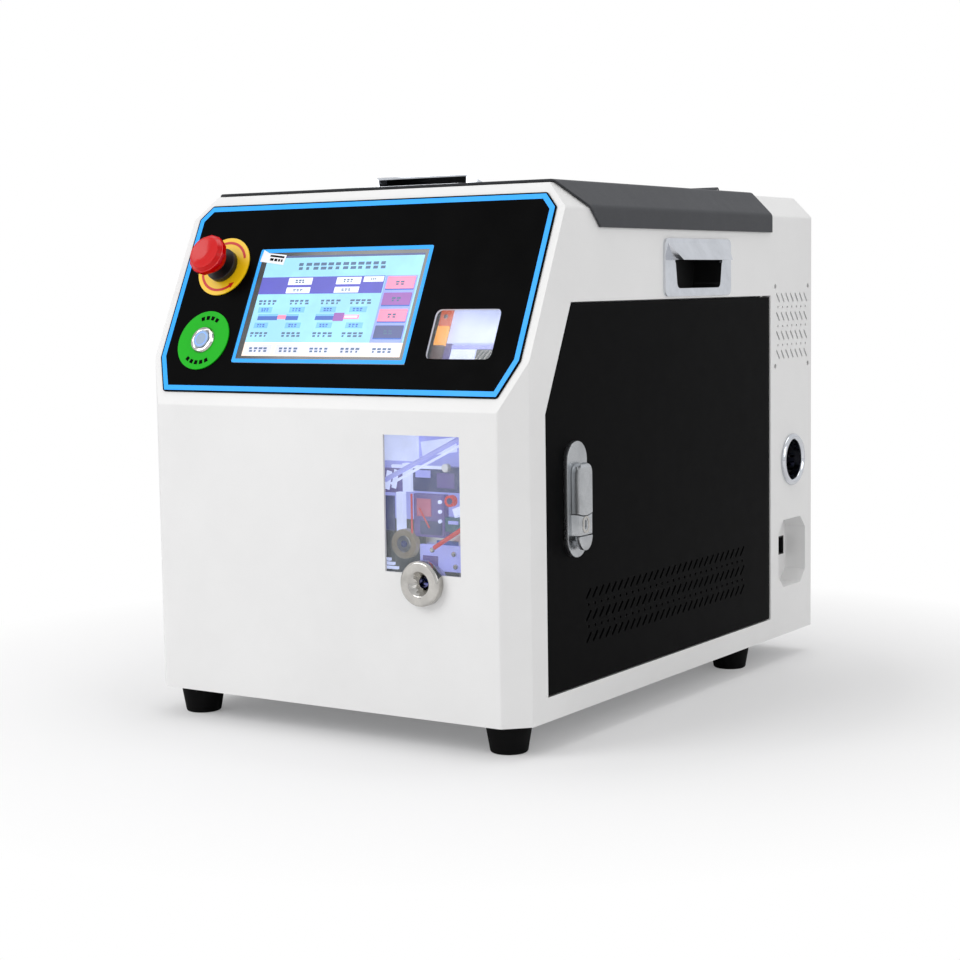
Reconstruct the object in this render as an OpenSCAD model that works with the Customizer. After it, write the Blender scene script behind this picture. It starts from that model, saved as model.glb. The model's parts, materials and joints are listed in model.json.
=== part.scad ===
// Bench-top crimping machine for wire-end terminals.
// Millimetres, +Z up, front towards -Y, origin on the standing surface under the middle of the housing.

/* [Housing] */
// Width of the housing
body_w = 360; // [350:1:375]
// Depth of the housing with its rear panel
body_d = 520; // [512:1:540]
// Height of the housing without its feet
body_h = 400; // [396:1:410]
// Height of the sloped panel from its lower bend to the top
panel_h = 168; // [164:1:172]
// Lean of the sloped panel from the vertical
panel_lean = 25.5; // [24:0.5:27]
// Thickness of the sheet steel
sheet_t = 2; // [1.5:0.1:2.2]
// Outer radius of the long bends
bend_r = 3; // [2:0.5:4]
// Flat cut across the vertical front edges
edge_cut = 17.5; // [14:0.5:20]
// Flat cut along the top side edges
top_cut = 19; // [16:0.5:21]
// Width of the flanges that carry the base pan and the rear panel
flange_w = 16; // [14:1:18]
// Radius of the vertical edges at the rear
corner_r = 2; // [1:0.5:3]

/* [Feet] */
// Height of a rubber foot
foot_h = 24; // [20:1:28]
// Diameter of a foot under the housing
foot_top_d = 36; // [34:1:40]
// Diameter of a foot on the ground
foot_low_d = 29; // [26:1:32]
// Distance of a foot's middle from the side
foot_side = 30; // [27:1:34]
// Distance of the front feet's middle from the front
foot_front = 31; // [28:1:36]
// Distance of the rear feet's middle from the rear
foot_rear = 114; // [90:1:120]

/* [Panel] */
// Distance of the lit screen from the left side
screen_left = 91.5; // [89:0.5:94]
// Distance of the lit screen from the right side
screen_right = 114.5; // [112:0.5:117]
// Height of the lit screen
screen_h = 87; // [84:1:90]
// Distance of the screen's middle up the slope
screen_s = 86; // [84:1:88]
// Black border of the screen's glass, all round
screen_rim = 6; // [5:0.5:7]
// Width of the window in the sloped panel
port_w = 59; // [54:1:60]
// Height of the window in the sloped panel
port_h = 41; // [38:1:44]
// Distance of that window's middle from the right side
port_x = 62.5; // [61:0.5:64]
// Distance of that window's middle up the slope
port_s = 62; // [60:1:64]
// Thickness of the black panel overlay
overlay_t = 1.2; // [1:0.1:1.6]
// Diameter of the yellow and green discs
disc_d = 51; // [48:1:52]
// Distance of the discs' middle from the left side
disc_x = 48; // [46:1:50]
// Distance of the yellow disc's middle up the slope
stop_s = 121; // [119:1:123]
// Distance of the green disc's middle up the slope
power_s = 55.5; // [54:0.5:57]

/* [Stop button] */
// Diameter of the mushroom head
stop_head_d = 34; // [30:1:38]
// Height of the mushroom head
stop_head_h = 16; // [14:1:18]
// Travel of the stop button
stop_travel = 4; // [3:0.5:4.5]
// Diameter of its fixed collar
stop_collar_d = 28; // [27:1:29]

/* [Power button] */
// Diameter of the metal flange
power_flange_d = 23; // [22:0.5:25]
// Diameter of the lit cap
power_cap_d = 15; // [13:0.5:16]
// Travel of the cap
power_travel = 2; // [1.5:0.1:2.4]

/* [Front window and funnel] */
// Width of the tall window
window_w = 68.5; // [62:0.5:69]
// Height of the tall window's lower edge above the housing's foot
window_low = 110.25; // [108:0.25:113]
// Distance of the window's middle from the right side
window_x = 84.7; // [83:0.1:86]
// Distance of its upper edge below the panel's lower bend
window_drop = 18.25; // [17:0.25:20]
// Thickness of the clear sheets
clear_t = 3; // [2:0.5:3]
// Distance of the wire axis from the right side
wire_x = 83.4; // [82:0.2:85]
// Height of the wire axis above the housing's foot
wire_z = 104; // [102:0.5:106]
// Diameter of the funnel's face
funnel_d = 34.5; // [32:0.5:36]
// How far the funnel stands out of the front
funnel_out = 8; // [6:0.5:9]
// Mouth diameter of the funnel's cone
funnel_mouth_d = 19; // [17:0.5:20]
// Bore of the funnel
funnel_bore_d = 8; // [7:0.5:9]

/* [Side door] */
// Distance of the door's front edge from the front
door_front = 40; // [38:1:44]
// Distance of the door's rear edge from the rear
door_rear = 94; // [92:1:98]
// Height of the door's lower edge above the housing's foot
door_low = 19.5; // [18:0.5:21]
// Distance of the door's upper edge below the housing's top
door_head = 90.5; // [89:0.5:94]
// Depth of the door's bent edges
door_depth = 12; // [11:0.5:14]
// Gap between door and housing
door_gap = 1.2; // [1:0.1:1.4]
// Gap at the hinged edge
door_hinge_gap = 3; // [2.8:0.1:3.4]

/* [Vents] */
// Length of a vent slot
slot_len = 11; // [9:0.5:11.5]
// Width of a vent slot
slot_w = 2.2; // [1.8:0.1:2.6]
// Diameter of a vent hole
dot_d = 2.6; // [2:0.1:3]
// Step between vent slots
slot_step = 10; // [9.6:0.1:10.2]
// Step between vent rows
row_step = 17; // [16:0.1:17.5]

/* [Lid] */
// Distance of the lid's front edge from the front, on top
lid_front = 84; // [82.5:0.5:88]
// Distance of the lid's rear edge from the rear
lid_rear = 92; // [90:1:96]
// How far the lid's skirt reaches below the housing's top
lid_skirt = 33.5; // [32:0.5:35]
// Thickness of the lid's sheet
lid_t = 2; // [1.5:0.1:2.2]
// Gap between lid and housing
lid_gap = 0.6; // [0.5:0.1:0.8]

/* [Handles] */
// Length of a recessed handle
grip_w = 120; // [116:1:124]
// Width of a recessed handle
grip_h = 47; // [45:1:48]
// How far a handle's hood stands out
grip_out = 11; // [9:0.5:12]
// Depth of a handle's pocket behind the sheet
grip_deep = 26; // [22:1:28]
// Distance of the side handles' middle from the front
grip_y = 285; // [280:1:290]
// Distance of the side handles' middle below the housing's top
grip_head = 64; // [62:0.5:64.5]
// Distance of the lid handle's middle behind the lid's front edge
lid_grip_y = 56; // [52:1:60]

/* [Door lock] */
// Width of the lock's base plate
lock_w = 28.7; // [27:0.1:30]
// Length of the lock's base plate
lock_h = 88; // [86:1:92]
// Distance of the lock's middle from the door's front edge
lock_y = 38; // [36:1:42]
// Height of the lock's middle above the housing's foot
lock_z = 163; // [160:1:166]
// Thickness of the base plate
lock_base_t = 4; // [3:0.5:5]
// Width of the lever
lever_w = 19; // [17:0.5:20]
// Thickness of the lever
lever_t = 7; // [6:0.5:8]
// Travel of the push button below the lever
lock_travel = 3; // [2:0.5:3.5]

/* [Round port, recess and fan] */
// Distance of the round port's middle from the rear
ring_rear = 44.5; // [43:0.5:46]
// Place of the round port's middle between those of recess and fan
ring_share = 0.41; // [0.4:0.01:0.42]
// Outer diameter of the round port
ring_d = 47.5; // [45:0.5:50]
// Bore of the round port
ring_bore_d = 36; // [34:0.5:38]
// How far the round port stands out
ring_out = 3.5; // [3:0.5:5]
// Width of the octagonal recess
recess_w = 59; // [57:1:61]
// Height of the octagonal recess
recess_h = 62; // [60:1:64]
// Cut corners of the recess
recess_cut = 11; // [9:1:12]
// Depth of the recess
recess_deep = 20; // [18:1:24]
// Distance of the recess's middle from the rear
recess_rear = 44.4; // [43:0.5:46]
// Height of the recess's middle above the housing's foot
recess_z = 75; // [73:1:77]
// Size of the fan
fan_size = 80; // [76:1:80]
// Distance between the fan's screws
fan_pitch = 71.5; // [68:0.5:71.5]
// Thickness of the fan
fan_t = 25; // [20:1:28]
// Distance of the fan's middle from the rear
fan_rear = 45; // [44:0.5:46]
// Distance of the fan's middle below the housing's top
fan_head = 117; // [115:1:119]

/* [Crimp head] */
// Outer diameter of the cam ring
cam_d = 84; // [82:1:86]
// Thickness of the cam ring
cam_t = 12; // [10:1:13]
// Diameter of the cam ring's bore
cam_bore_d = 54; // [52:0.5:55]
// Width of a crimping die
die_w = 12; // [10:0.5:13]
// Travel of a die
die_travel = 2; // [1.5:0.1:2.2]
// Turn of the cam ring that closes the dies
cam_turn = 24; // [20:1:26]
// Opening between the dies at rest
die_open_d = 9; // [8:0.5:10]

/* [Stripping unit] */
// Travel of the stripping carriage
strip_travel = 14; // [10:1:15]
// Travel of each stripping blade
blade_travel = 4; // [3:0.5:4.5]
// Travel of each clamp jaw
clamp_travel = 3; // [2:0.5:3.5]
// Diameter of the guide rods
rod_d = 10; // [8:0.5:11]
// Lead of the feed screw
screw_lead = 4; // [3:0.5:5]
// Diameter of the feed screw
screw_d = 8; // [7:0.5:9]

/* [Feeder] */
// Diameter of the feeder's bowl
bowl_d = 150; // [140:1:156]
// Height of the feeder's bowl
bowl_h = 52; // [46:1:56]
// Width of the spiral ledge in the bowl
ledge_w = 7; // [6:0.5:8]
// Pitch of the spiral ledge
ledge_pitch = 13; // [12:0.5:14]
// Thickness of the bowl's wall
bowl_t = 3; // [2.5:0.5:4]

/* [Hidden] */
// Smoothness of round parts, of small round parts and of swept arcs
$fn = 48;
small_fn = 24;
arc_n = 4;

// Overrun of every cut
cut = 1;
// Running clearance of a pin or shaft, on the radius
run_c = 0.05;
// Clearance of what is bolted or pushed through a sheet
fit_c = 0.3;
// Gap between parts that only lie beside each other
air = 0.3;

// Main places of the housing
x_side = body_w / 2;
y_front = -body_d / 2;
y_rear = body_d / 2;
z_low = foot_h;
z_top = foot_h + body_h;
bend_h = body_h - panel_h;
panel_len = panel_h / cos(panel_lean);
panel_run = panel_len * sin(panel_lean);

// Inside faces of the housing
x_in = x_side - sheet_t;
y_in = y_front + sheet_t;
y_panel_rear = y_rear - sheet_t;
z_in = z_low + sheet_t;
z_pan = z_in + sheet_t;

// Wire axis, on which funnel, clamp, blades and dies stand
wire_px = x_side - wire_x;
wire_pz = z_low + wire_z;

// Points of an arc from angle a0 to a1
function arc(r, a0, a1, n) = [for (i = [0:n]) let (a = a0 + (a1 - a0) * i / n) [r * cos(a), r * sin(a)]];

// Turn by 90 degrees, length and unit vector of a plane vector
function left_of(v) = [-v[1], v[0]];
function unit(v) = v / norm(v);

// Corners of a closed outline moved outwards by d, for outlines drawn anticlockwise
function grown(p, d) = [for (i = [0:len(p) - 1])
  let (
    a = unit(p[i] - p[(i + len(p) - 1) % len(p)]),
    b = unit(p[(i + 1) % len(p)] - p[i]),
    m = unit(-left_of(a) - left_of(b))
  ) p[i] + m * d / (m * -left_of(a))];

// The same outline with corner i rounded to radius r[i]
function rounded(p, r, n = arc_n) = [for (i = [0:len(p) - 1])
  let (
    a = unit(p[i] - p[(i + len(p) - 1) % len(p)]),
    b = unit(p[(i + 1) % len(p)] - p[i]),
    half = acos(max(-1, min(1, a * b))) / 2,
    m = unit(left_of(a) + left_of(b)),
    c = p[i] + m * r[i] / cos(half),
    start = atan2(-left_of(a)[1], -left_of(a)[0])
  ) each r[i] <= 0 ? [p[i]] : [for (k = [0:n]) c + r[i] * [cos(start + 2 * half * k / n),
    sin(start + 2 * half * k / n)]]];

// Outline of a rectangle about its middle, anticlockwise
function box_pts(w, h) = [[-w, -h] / 2, [w, -h] / 2, [w, h] / 2, [-w, h] / 2];

// Outline of a slot with round ends, along X
function slot_pts(l, w, n = 3) = concat(
  [for (p = arc(w / 2, -90, 90, n)) p + [(l - w) / 2, 0]],
  [for (p = arc(w / 2, 90, 270, n)) p - [(l - w) / 2, 0]]);

// Outline of a rectangle with rounded corners
function soft_box(w, h, r, n = arc_n) = rounded(box_pts(w, h), [r, r, r, r], n);

// Outline of a rectangle with cut corners
function cut_box(w, h, c) = [
  [-w / 2 + c, -h / 2], [w / 2 - c, -h / 2], [w / 2, -h / 2 + c], [w / 2, h / 2 - c],
  [w / 2 - c, h / 2], [-w / 2 + c, h / 2], [-w / 2, h / 2 - c], [-w / 2, -h / 2 + c]];

// Frames of the faces: X along the face, Y up it, Z out of it
module on_front(x, z, lift = 0)
  translate([x, y_front, z_low + z]) rotate([90, 0, 0]) up(lift) children();
module on_panel(x, s, lift = 0)
  translate([x, y_front + s * sin(panel_lean), z_low + bend_h + s * cos(panel_lean)])
    rotate([90 - panel_lean, 0, 0]) up(lift) children();
module on_right(y, z, lift = 0)
  translate([x_side, y, z_low + z]) rotate([90, 0, 90]) up(lift) children();
module on_rear(x, z, lift = 0)
  translate([x, y_rear, z_low + z]) rotate([90, 0, 180]) up(lift) children();

// Frame of the wire axis: X to the right, Z up, Y from the housing's front into the machine
module on_wire(y = 0)
  translate([wire_px, y_front + y, wire_pz]) children();

// Lift along Z
module up(z) translate([0, 0, z]) children();

// Opening through the sheet of a face, and a bore that overruns both ends
module through(t = sheet_t) up(-t - cut) linear_extrude(t + 2 * cut) children();
module bore(d, h, fn = $fn) up(-cut) cylinder(d = d, h = h + 2 * cut, $fn = fn);

// A round bar along Y that starts at y = 0, and one along X
module bar_y(d, l, fn = $fn)
  rotate([-90, 0, 0]) cylinder(d = d, h = l, $fn = fn);
module bar_x(d, l, fn = $fn)
  rotate([0, 90, 0]) cylinder(d = d, h = l, $fn = fn);

// The three outlines of the housing, each moved inwards by d, and made longer below and behind by more
function side_outline(d, more = 0) = rounded(grown([
  [y_front, z_low - more], [y_rear + more, z_low - more], [y_rear + more, z_top],
  [y_front + panel_run, z_top], [y_front, z_low + bend_h]], -d),
  [0, 0, 0, max(bend_r - d, 0), max(bend_r - d, 0)]);
function plan_outline(d, more = 0) = rounded(grown([
  [-x_side + edge_cut, y_front], [x_side - edge_cut, y_front], [x_side, y_front + edge_cut],
  [x_side, y_rear + more], [-x_side, y_rear + more], [-x_side, y_front + edge_cut]], -d), [
  max(bend_r - d, 0), max(bend_r - d, 0), max(bend_r - d, 0), max(corner_r - d, 0),
  max(corner_r - d, 0), max(bend_r - d, 0)]);
function front_outline(d, more = 0) = rounded(grown([
  [-x_side, z_low - more], [x_side, z_low - more], [x_side, z_top - top_cut],
  [x_side - top_cut, z_top], [-x_side + top_cut, z_top], [-x_side, z_top - top_cut]], -d), [
  0, 0, max(bend_r - d, 0), max(bend_r - d, 0), max(bend_r - d, 0), max(bend_r - d, 0)]);

// The housing's solid form with the same two changes
module form(d, more = 0) {
  intersection() {
    translate([-x_side + d, 0, 0]) rotate([90, 0, 90])
      linear_extrude(body_w - 2 * d) polygon(side_outline(d, more));
    up(z_low + d - more) linear_extrude(body_h - 2 * d + more) polygon(plan_outline(d, more));
    translate([0, y_rear - d + more, 0]) rotate([90, 0, 0])
      linear_extrude(body_d - 2 * d + more) polygon(front_outline(d, more));
  }
}
// Its sheet between x0 and x1 and from y0 to y1, open below and behind
module shell(x0, x1, y0, y1)
  difference() {
    intersection() {
      form(0);
      translate([x0, y0, 0]) cube([x1 - x0, y1 - y0, z_top + cut]);
    }
    form(sheet_t, 2 * sheet_t);
  }

// Slanted edge of the door, parallel to the sloped panel
door_slant = 37.5;
door_y0 = y_front + door_front;
door_y1 = y_rear - door_rear;
door_top = body_h - door_head;
jamb_gap = 0.8;
jamb_w = 9;
jamb_in = door_depth + jamb_gap;

// The door's outline in Y and height above the housing's foot, moved outwards by m, at the rear by mr
function door_slant_y(m, z) = y_front + (door_slant - m) / cos(panel_lean) + (z - bend_h) * tan(panel_lean);
function door_break(m) = bend_h
  + (door_front - m - (door_slant - m) / cos(panel_lean)) / tan(panel_lean);
function door_pts(m, mr) = [
  [door_y0 - m, door_low - m], [door_y1 + mr, door_low - m], [door_y1 + mr, door_top + m],
  [door_slant_y(m, door_top + m), door_top + m], [door_y0 - m, door_break(m)]];

// Slots and holes of a vent: cols by rows slots that lean by lean, holes between the rows
module vent(cols, rows, lean, len = slot_len) {
  for (r = [0:rows - 1], c = [0:cols - 1])
    translate([c * slot_step, -r * row_step]) rotate(lean) polygon(slot_pts(len, slot_w));
  for (r = [0:rows - 2], c = [0:cols - 1])
    translate([c * slot_step, -(r + 1 / 2) * row_step]) circle(d = dot_d, $fn = 8);
}

// Fan vent, centred: slots and holes within the fan's circle of air
fan_cols = 7;
fan_rows = 4;
fan_screw_d = 4.4;
fan_px = y_rear - fan_rear;
module fan_vent() {
  translate([-(fan_cols - 1) * slot_step / 2, (fan_rows - 1) * row_step / 2])
    vent(fan_cols, fan_rows, -49);
  for (i = [-1, 1], j = [-1, 1])
    translate([i, j] * fan_pitch / 2) circle(d = fan_screw_d, $fn = small_fn);
}

// Places on the sloped panel
screen_w = body_w - screen_left - screen_right;
screen_px = -x_side + screen_left + screen_w / 2;
disc_px = -x_side + disc_x;
port_px = x_side - port_x;
port_r = 5;
hmi_margin = 11;
hmi_deep = 36;
hmi_corner = 3;
hmi_w = screen_w + 2 * hmi_margin;
hmi_h = screen_h + 2 * hmi_margin;
stop_shank_d = 16;
power_shank_d = 19;

// Places on the front
window_h = bend_h - window_drop - window_low;
window_z = window_low + window_h / 2;
window_px = x_side - window_x;
shank_d = 20;

// Places on the side
fan_z = body_h - fan_head;
ring_z = recess_z + ring_share * (fan_z - recess_z);
ring_py = y_rear - ring_rear;
ring_shank_d = 42;
recess_py = y_rear - recess_rear;
grip_py = y_front + grip_y;
grip_z = body_h - grip_head;
recess_wall = 1.5;
recess_lip = 0.6;

// Outline of the recess behind a grip's flange
grip_flange = 5;
grip_wall = 2;
grip_r = 5;
grip_hole_w = grip_w - 2 * grip_flange;
grip_hole_h = grip_h - 2 * grip_flange;

// Opening under the lid
hatch_side = 42;
hatch_front = 24;
hatch_rear = 18;
lid_y0 = y_front + lid_front;
lid_y1 = y_rear - lid_rear;

// The housing: front, sloped panel and the top's front strip as one bent sheet
seam_back = 4;
seam_y = y_front + panel_run + seam_back;
module housing() {
  color("whitesmoke") difference() {
    shell(-x_in, x_in, y_front - cut, seam_y);
    on_front(window_px, window_z) through() polygon(box_pts(window_w, window_h));
    on_front(wire_px, wire_z) through() circle(d = shank_d + fit_c);
    on_panel(screen_px, screen_s) through()
      polygon(box_pts(hmi_w - 2 * hmi_corner, hmi_h - 2 * hmi_corner));
    on_panel(port_px, port_s) through() polygon(soft_box(port_w, port_h, port_r));
    on_panel(disc_px, stop_s) through() circle(d = stop_shank_d + fit_c);
    on_panel(disc_px, power_s) through() circle(d = power_shank_d + fit_c);
  }
}

// Top sheet with its slanted side strips, around the opening under the lid
module top_sheet() {
  color("whitesmoke") difference() {
    shell(-x_in, x_in, seam_y, y_panel_rear);
    translate([-x_side + hatch_side, lid_y0 + hatch_front, z_top - sheet_t - cut])
      cube([body_w - 2 * hatch_side, lid_y1 - hatch_rear - lid_y0 - hatch_front, sheet_t + 2 * cut]);
  }
}

// Two side sheets: door opening, round port, recess and fan vent on the right, intake on the left
module side_sheets() {
  color("whitesmoke") {
    difference() {
      shell(x_in, x_side, y_front, y_panel_rear);
      on_right(grip_py, grip_z) through() grip_hole();
      on_right(0, 0) through() {
        polygon(door_pts(door_gap, door_hinge_gap));
        translate([ring_py, ring_z]) circle(d = ring_shank_d + fit_c);
        translate([recess_py, recess_z]) polygon(cut_box(recess_w, recess_h, recess_cut));
        translate([fan_px, fan_z]) fan_vent();
      }
    }
    mirror([1, 0, 0]) difference() {
      shell(x_in, x_side, y_front, y_panel_rear);
      on_right(grip_py, grip_z) through() grip_hole();
      on_right(left_vent_y, left_vent_z) through() vent(left_cols, left_rows, 45);
    }
  }
}
module grip_hole() polygon(soft_box(grip_hole_w + fit_c, grip_hole_h + fit_c, grip_r));

// Flanges inside the sheets, for feet and base pan and for the rear panel, and the door frame
module housing_frame() {
  color("whitesmoke") {
    difference() {
      up(z_low) linear_extrude(sheet_t) difference() {
        intersection() {
          polygon(plan_outline(sheet_t));
          translate([-x_side, y_front]) square([body_w, body_d - 2 * sheet_t - air]);
        }
        polygon(plan_outline(sheet_t + flange_w));
      }
      foot_places() bore(foot_bolt_d + fit_c, sheet_t, small_fn);
    }
    difference() {
      translate([0, y_panel_rear, 0]) rotate([90, 0, 0]) linear_extrude(sheet_t) difference() {
        polygon(front_outline(sheet_t, sheet_t));
        polygon(front_outline(sheet_t + flange_w));
      }
      case_screw_places() up(-3 * sheet_t) cylinder(d = case_screw_d, h = 3 * sheet_t + cut, $fn = small_fn);
    }
    door_jamb();
  }
}

// Intake vent low on the left side, behind the power supply
left_cols = 14;
left_vent_rear = 190;
left_rows = 3;
left_vent_y = y_rear - left_vent_rear;
left_vent_z = 96;

// Frame of the door opening: returns inwards and a stop flange, open at the hinged edge
module door_jamb() {
  inner = door_pts(door_gap, door_hinge_gap);
  outer = door_pts(door_gap + sheet_t, door_hinge_gap + sheet_t);
  lip = door_pts(door_gap - jamb_w, door_hinge_gap - sheet_t / 2);
  difference() {
    union() {
      on_right(0, 0, -jamb_in - sheet_t) linear_extrude(jamb_in) difference() {
        polygon(outer);
        polygon(inner);
      }
      on_right(0, 0, -jamb_in - sheet_t) linear_extrude(sheet_t) difference() {
        polygon(outer);
        polygon(lip);
      }
    }
    door_pin_places() up(-pin_reach) cylinder(d = pin_d + 2 * run_c, h = 2 * pin_reach);
    door_pin_places() cylinder(r = norm([pin_in, pin_back]) + air, h = jamb_w);
  }
}

// Door hinge: upright pins at the door's rear corners
pin_d = 4;
pin_head_d = 7;
pin_head_h = 3;
pin_in = 6;
pin_back = 6;
pin_reach = 9;
door_pin_x = x_side - pin_in;
door_pin_y = door_y1 - pin_back;
module door_pin_places() {
  translate([door_pin_x, door_pin_y, z_low + door_low - door_gap]) children();
  translate([door_pin_x, door_pin_y, z_low + door_top + door_gap]) mirror([0, 0, 1]) children();
}

// Base pan: a tray that stands on the housing's bottom flanges
pan_edge_h = 10;
module base_pan() {
  color("silver") difference() {
    pan_block(fit_c, pan_edge_h);
    up(sheet_t) pan_block(fit_c + sheet_t, pan_edge_h);
    foot_places() bore(foot_bolt_d + fit_c, 3 * sheet_t, small_fn);
  }
}
module pan_block(side, h)
  up(z_in) linear_extrude(h) intersection() {
    polygon(plan_outline(sheet_t + side));
    translate([-x_side, y_front]) square([body_w, body_d - 2 * sheet_t - side]);
  }

// Rear panel, screwed on the housing's rear flange
rear_cols = 20;
rear_vent_head = 70;
module rear_panel() {
  color("whitesmoke") difference() {
    intersection() {
      form(0);
      translate([-body_w, y_panel_rear, 0]) cube([2 * body_w, body_d, z_top + cut]);
    }
    on_rear((rear_cols - 1) * slot_step / 2, body_h - rear_vent_head) through() vent(rear_cols, 2, 90);
    case_screw_places() up(-sheet_t) bore(case_screw_d + fit_c, sheet_t, small_fn);
  }
}

// Places of the rear panel's screws
case_screw_d = 4;
case_screw_head_d = 8;
case_screw_head_h = 2.4;
case_screw_len = 2 * sheet_t;
module case_screw_places() {
  inset = sheet_t + flange_w / 2;
  for (x = [-1, 1], z = [0, 1 / 2, 1])
    on_rear(x * (x_side - inset), inset + z * (body_h - top_cut - 2 * inset)) children();
  on_rear(0, inset) children();
  on_rear(0, body_h - inset) children();
}
// Rubber feet, each with its bolt through flange and base pan
foot_bolt_d = 6;
foot_ring_d = 16;
foot_ring_h = 2;
foot_rim_r = 2;
function foot_place(i) = [
  (i % 2 == 0 ? -1 : 1) * (x_side - foot_side),
  i < 2 ? y_front + foot_front : y_rear - foot_rear];
module foot_places()
  for (i = [0:3]) translate([foot_place(i)[0], foot_place(i)[1], z_low]) children();
module rubber_feet() {
  bolt_len = 2 * sheet_t;
  for (i = [0:3]) translate(concat(foot_place(i), [0])) {
    color("dimgray") rotate_extrude() polygon(concat(
      [[0, foot_ring_h], [foot_ring_d / 2, foot_ring_h], [foot_ring_d / 2, 0]],
      [for (p = arc(foot_rim_r, -90, -10, arc_n)) [foot_low_d / 2 - foot_rim_r, foot_rim_r] + p],
      [[foot_top_d / 2, foot_h - foot_rim_r], [foot_top_d / 2, foot_h], [0, foot_h]]));
    color("silver") up(foot_h) cylinder(d = foot_bolt_d, h = bolt_len, $fn = small_fn);
  }
}

// Clear sheets behind the two windows
window_lap = 6;
module clear_windows() {
  color([0.75, 0.85, 1, 0.4]) {
    difference() {
      on_front(window_px, window_z, -sheet_t - clear_t) linear_extrude(clear_t)
        polygon(box_pts(window_w + 2 * window_lap, window_h + 2 * window_lap));
      on_front(wire_px, wire_z, -sheet_t - clear_t) bore(shank_d + fit_c, clear_t);
    }
    on_panel(port_px, port_s, -sheet_t - clear_t) linear_extrude(clear_t)
      polygon(soft_box(port_w + 2 * window_lap, port_h + 2 * window_lap, port_r));
  }
}

// Wire funnel: polished flange with a cone that narrows to the bore
funnel_back = 16;
funnel_edge = 1.5;
funnel_cone = 7;
module wire_funnel() {
  r = funnel_d / 2;
  color("silver") on_front(wire_px, wire_z) rotate_extrude() polygon([
    [funnel_bore_d / 2, -funnel_back], [shank_d / 2, -funnel_back], [shank_d / 2, 0], [r, 0],
    [r, funnel_out - funnel_edge], [r - funnel_edge, funnel_out], [funnel_mouth_d / 2, funnel_out],
    [funnel_bore_d / 2, funnel_out - funnel_cone]]);
}

// Nuts behind the sheet, for funnel, stop button, power button and round port
nut_h = 4;
nut_rim = 4;
module panel_nut(d)
  difference() {
    cylinder(d = d + 2 * nut_rim, h = nut_h, $fn = 6);
    bore(d + 2 * run_c, nut_h);
  }
// Screws of the rear panel, and those nuts
module fasteners() {
  color("gainsboro") {
    case_screw_places() {
      up(-case_screw_len) cylinder(d = case_screw_d, h = case_screw_len, $fn = small_fn);
      difference() {
        cylinder(d1 = case_screw_head_d, d2 = case_screw_head_d * 0.7, h = case_screw_head_h,
          $fn = small_fn);
        up(case_screw_head_h / 2) cylinder(d = case_screw_d * 0.7, h = case_screw_head_h, $fn = 6);
      }
    }
    on_front(wire_px, wire_z, -sheet_t - clear_t - nut_h) panel_nut(shank_d);
    on_panel(disc_px, stop_s, -sheet_t - nut_h) panel_nut(stop_shank_d);
    on_panel(disc_px, power_s, -sheet_t - nut_h) panel_nut(power_shank_d);
    on_right(ring_py, ring_z, -sheet_t - nut_h) panel_nut(ring_shank_d);
  }
}

// Black overlay on the sloped panel, its outline parallel to the panel's own edges
overlay_side = 7;
overlay_low = 11;
overlay_top = 9;
overlay_r = 3;
function overlay_pts() =
  let (
    s0 = overlay_low, s1 = panel_len - overlay_top,
    x = x_side - overlay_side,
    low_cut = edge_cut - s0 * sin(panel_lean),
    top_c = top_cut - overlay_top * cos(panel_lean)
  ) [
    [-x + low_cut, s0], [x - low_cut, s0], [x, s0 + low_cut / sin(panel_lean)],
    [x, s1 - top_c / cos(panel_lean)], [x - top_c, s1], [-x + top_c, s1],
    [-x, s1 - top_c / cos(panel_lean)], [-x, s0 + low_cut / sin(panel_lean)]];
module overlay_cuts() {
  translate([screen_px, screen_s]) polygon(box_pts(hmi_glass_w + 2 * glass_gap, hmi_glass_h + 2 * glass_gap));
  translate([port_px, port_s]) polygon(soft_box(port_w, port_h, port_r));
  translate([disc_px, stop_s]) circle(d = stop_shank_d + fit_c);
  translate([disc_px, power_s]) circle(d = power_shank_d + fit_c);
}
hmi_glass_w = screen_w + 2 * screen_rim;
hmi_glass_h = screen_h + 2 * screen_rim;
glass_gap = 0.2;
module panel_overlay() {
  color("black") on_panel(0, 0) linear_extrude(overlay_t) difference() {
    polygon(rounded(overlay_pts(), [for (i = [0:7]) overlay_r]));
    overlay_cuts();
  }
}

// Touch screen: module clamped behind the panel, glass flush with the overlay
module screen_module() {
  color("dimgray") {
    on_panel(screen_px, screen_s, -sheet_t - hmi_deep) linear_extrude(hmi_deep)
      polygon(soft_box(hmi_w + 2 * hmi_corner, hmi_h + 2 * hmi_corner, hmi_corner));
    on_panel(screen_px, screen_s, -sheet_t) linear_extrude(sheet_t)
      polygon(box_pts(hmi_w - 2 * hmi_corner - 2 * fit_c, hmi_h - 2 * hmi_corner - 2 * fit_c));
  }
}
module screen_glass() {
  color("lightblue") on_panel(screen_px, screen_s) linear_extrude(overlay_t)
    polygon(box_pts(hmi_glass_w, hmi_glass_h));
}

// Coloured discs under the two buttons
disc_t = 1;
module disc(s, hole)
  on_panel(disc_px, s, overlay_t) difference() {
    cylinder(d = disc_d, h = disc_t);
    bore(hole, disc_t);
  }
module button_discs() {
  color("gold") disc(stop_s, stop_shank_d + fit_c);
  color("limegreen") disc(power_s, power_shank_d + fit_c);
}

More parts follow.
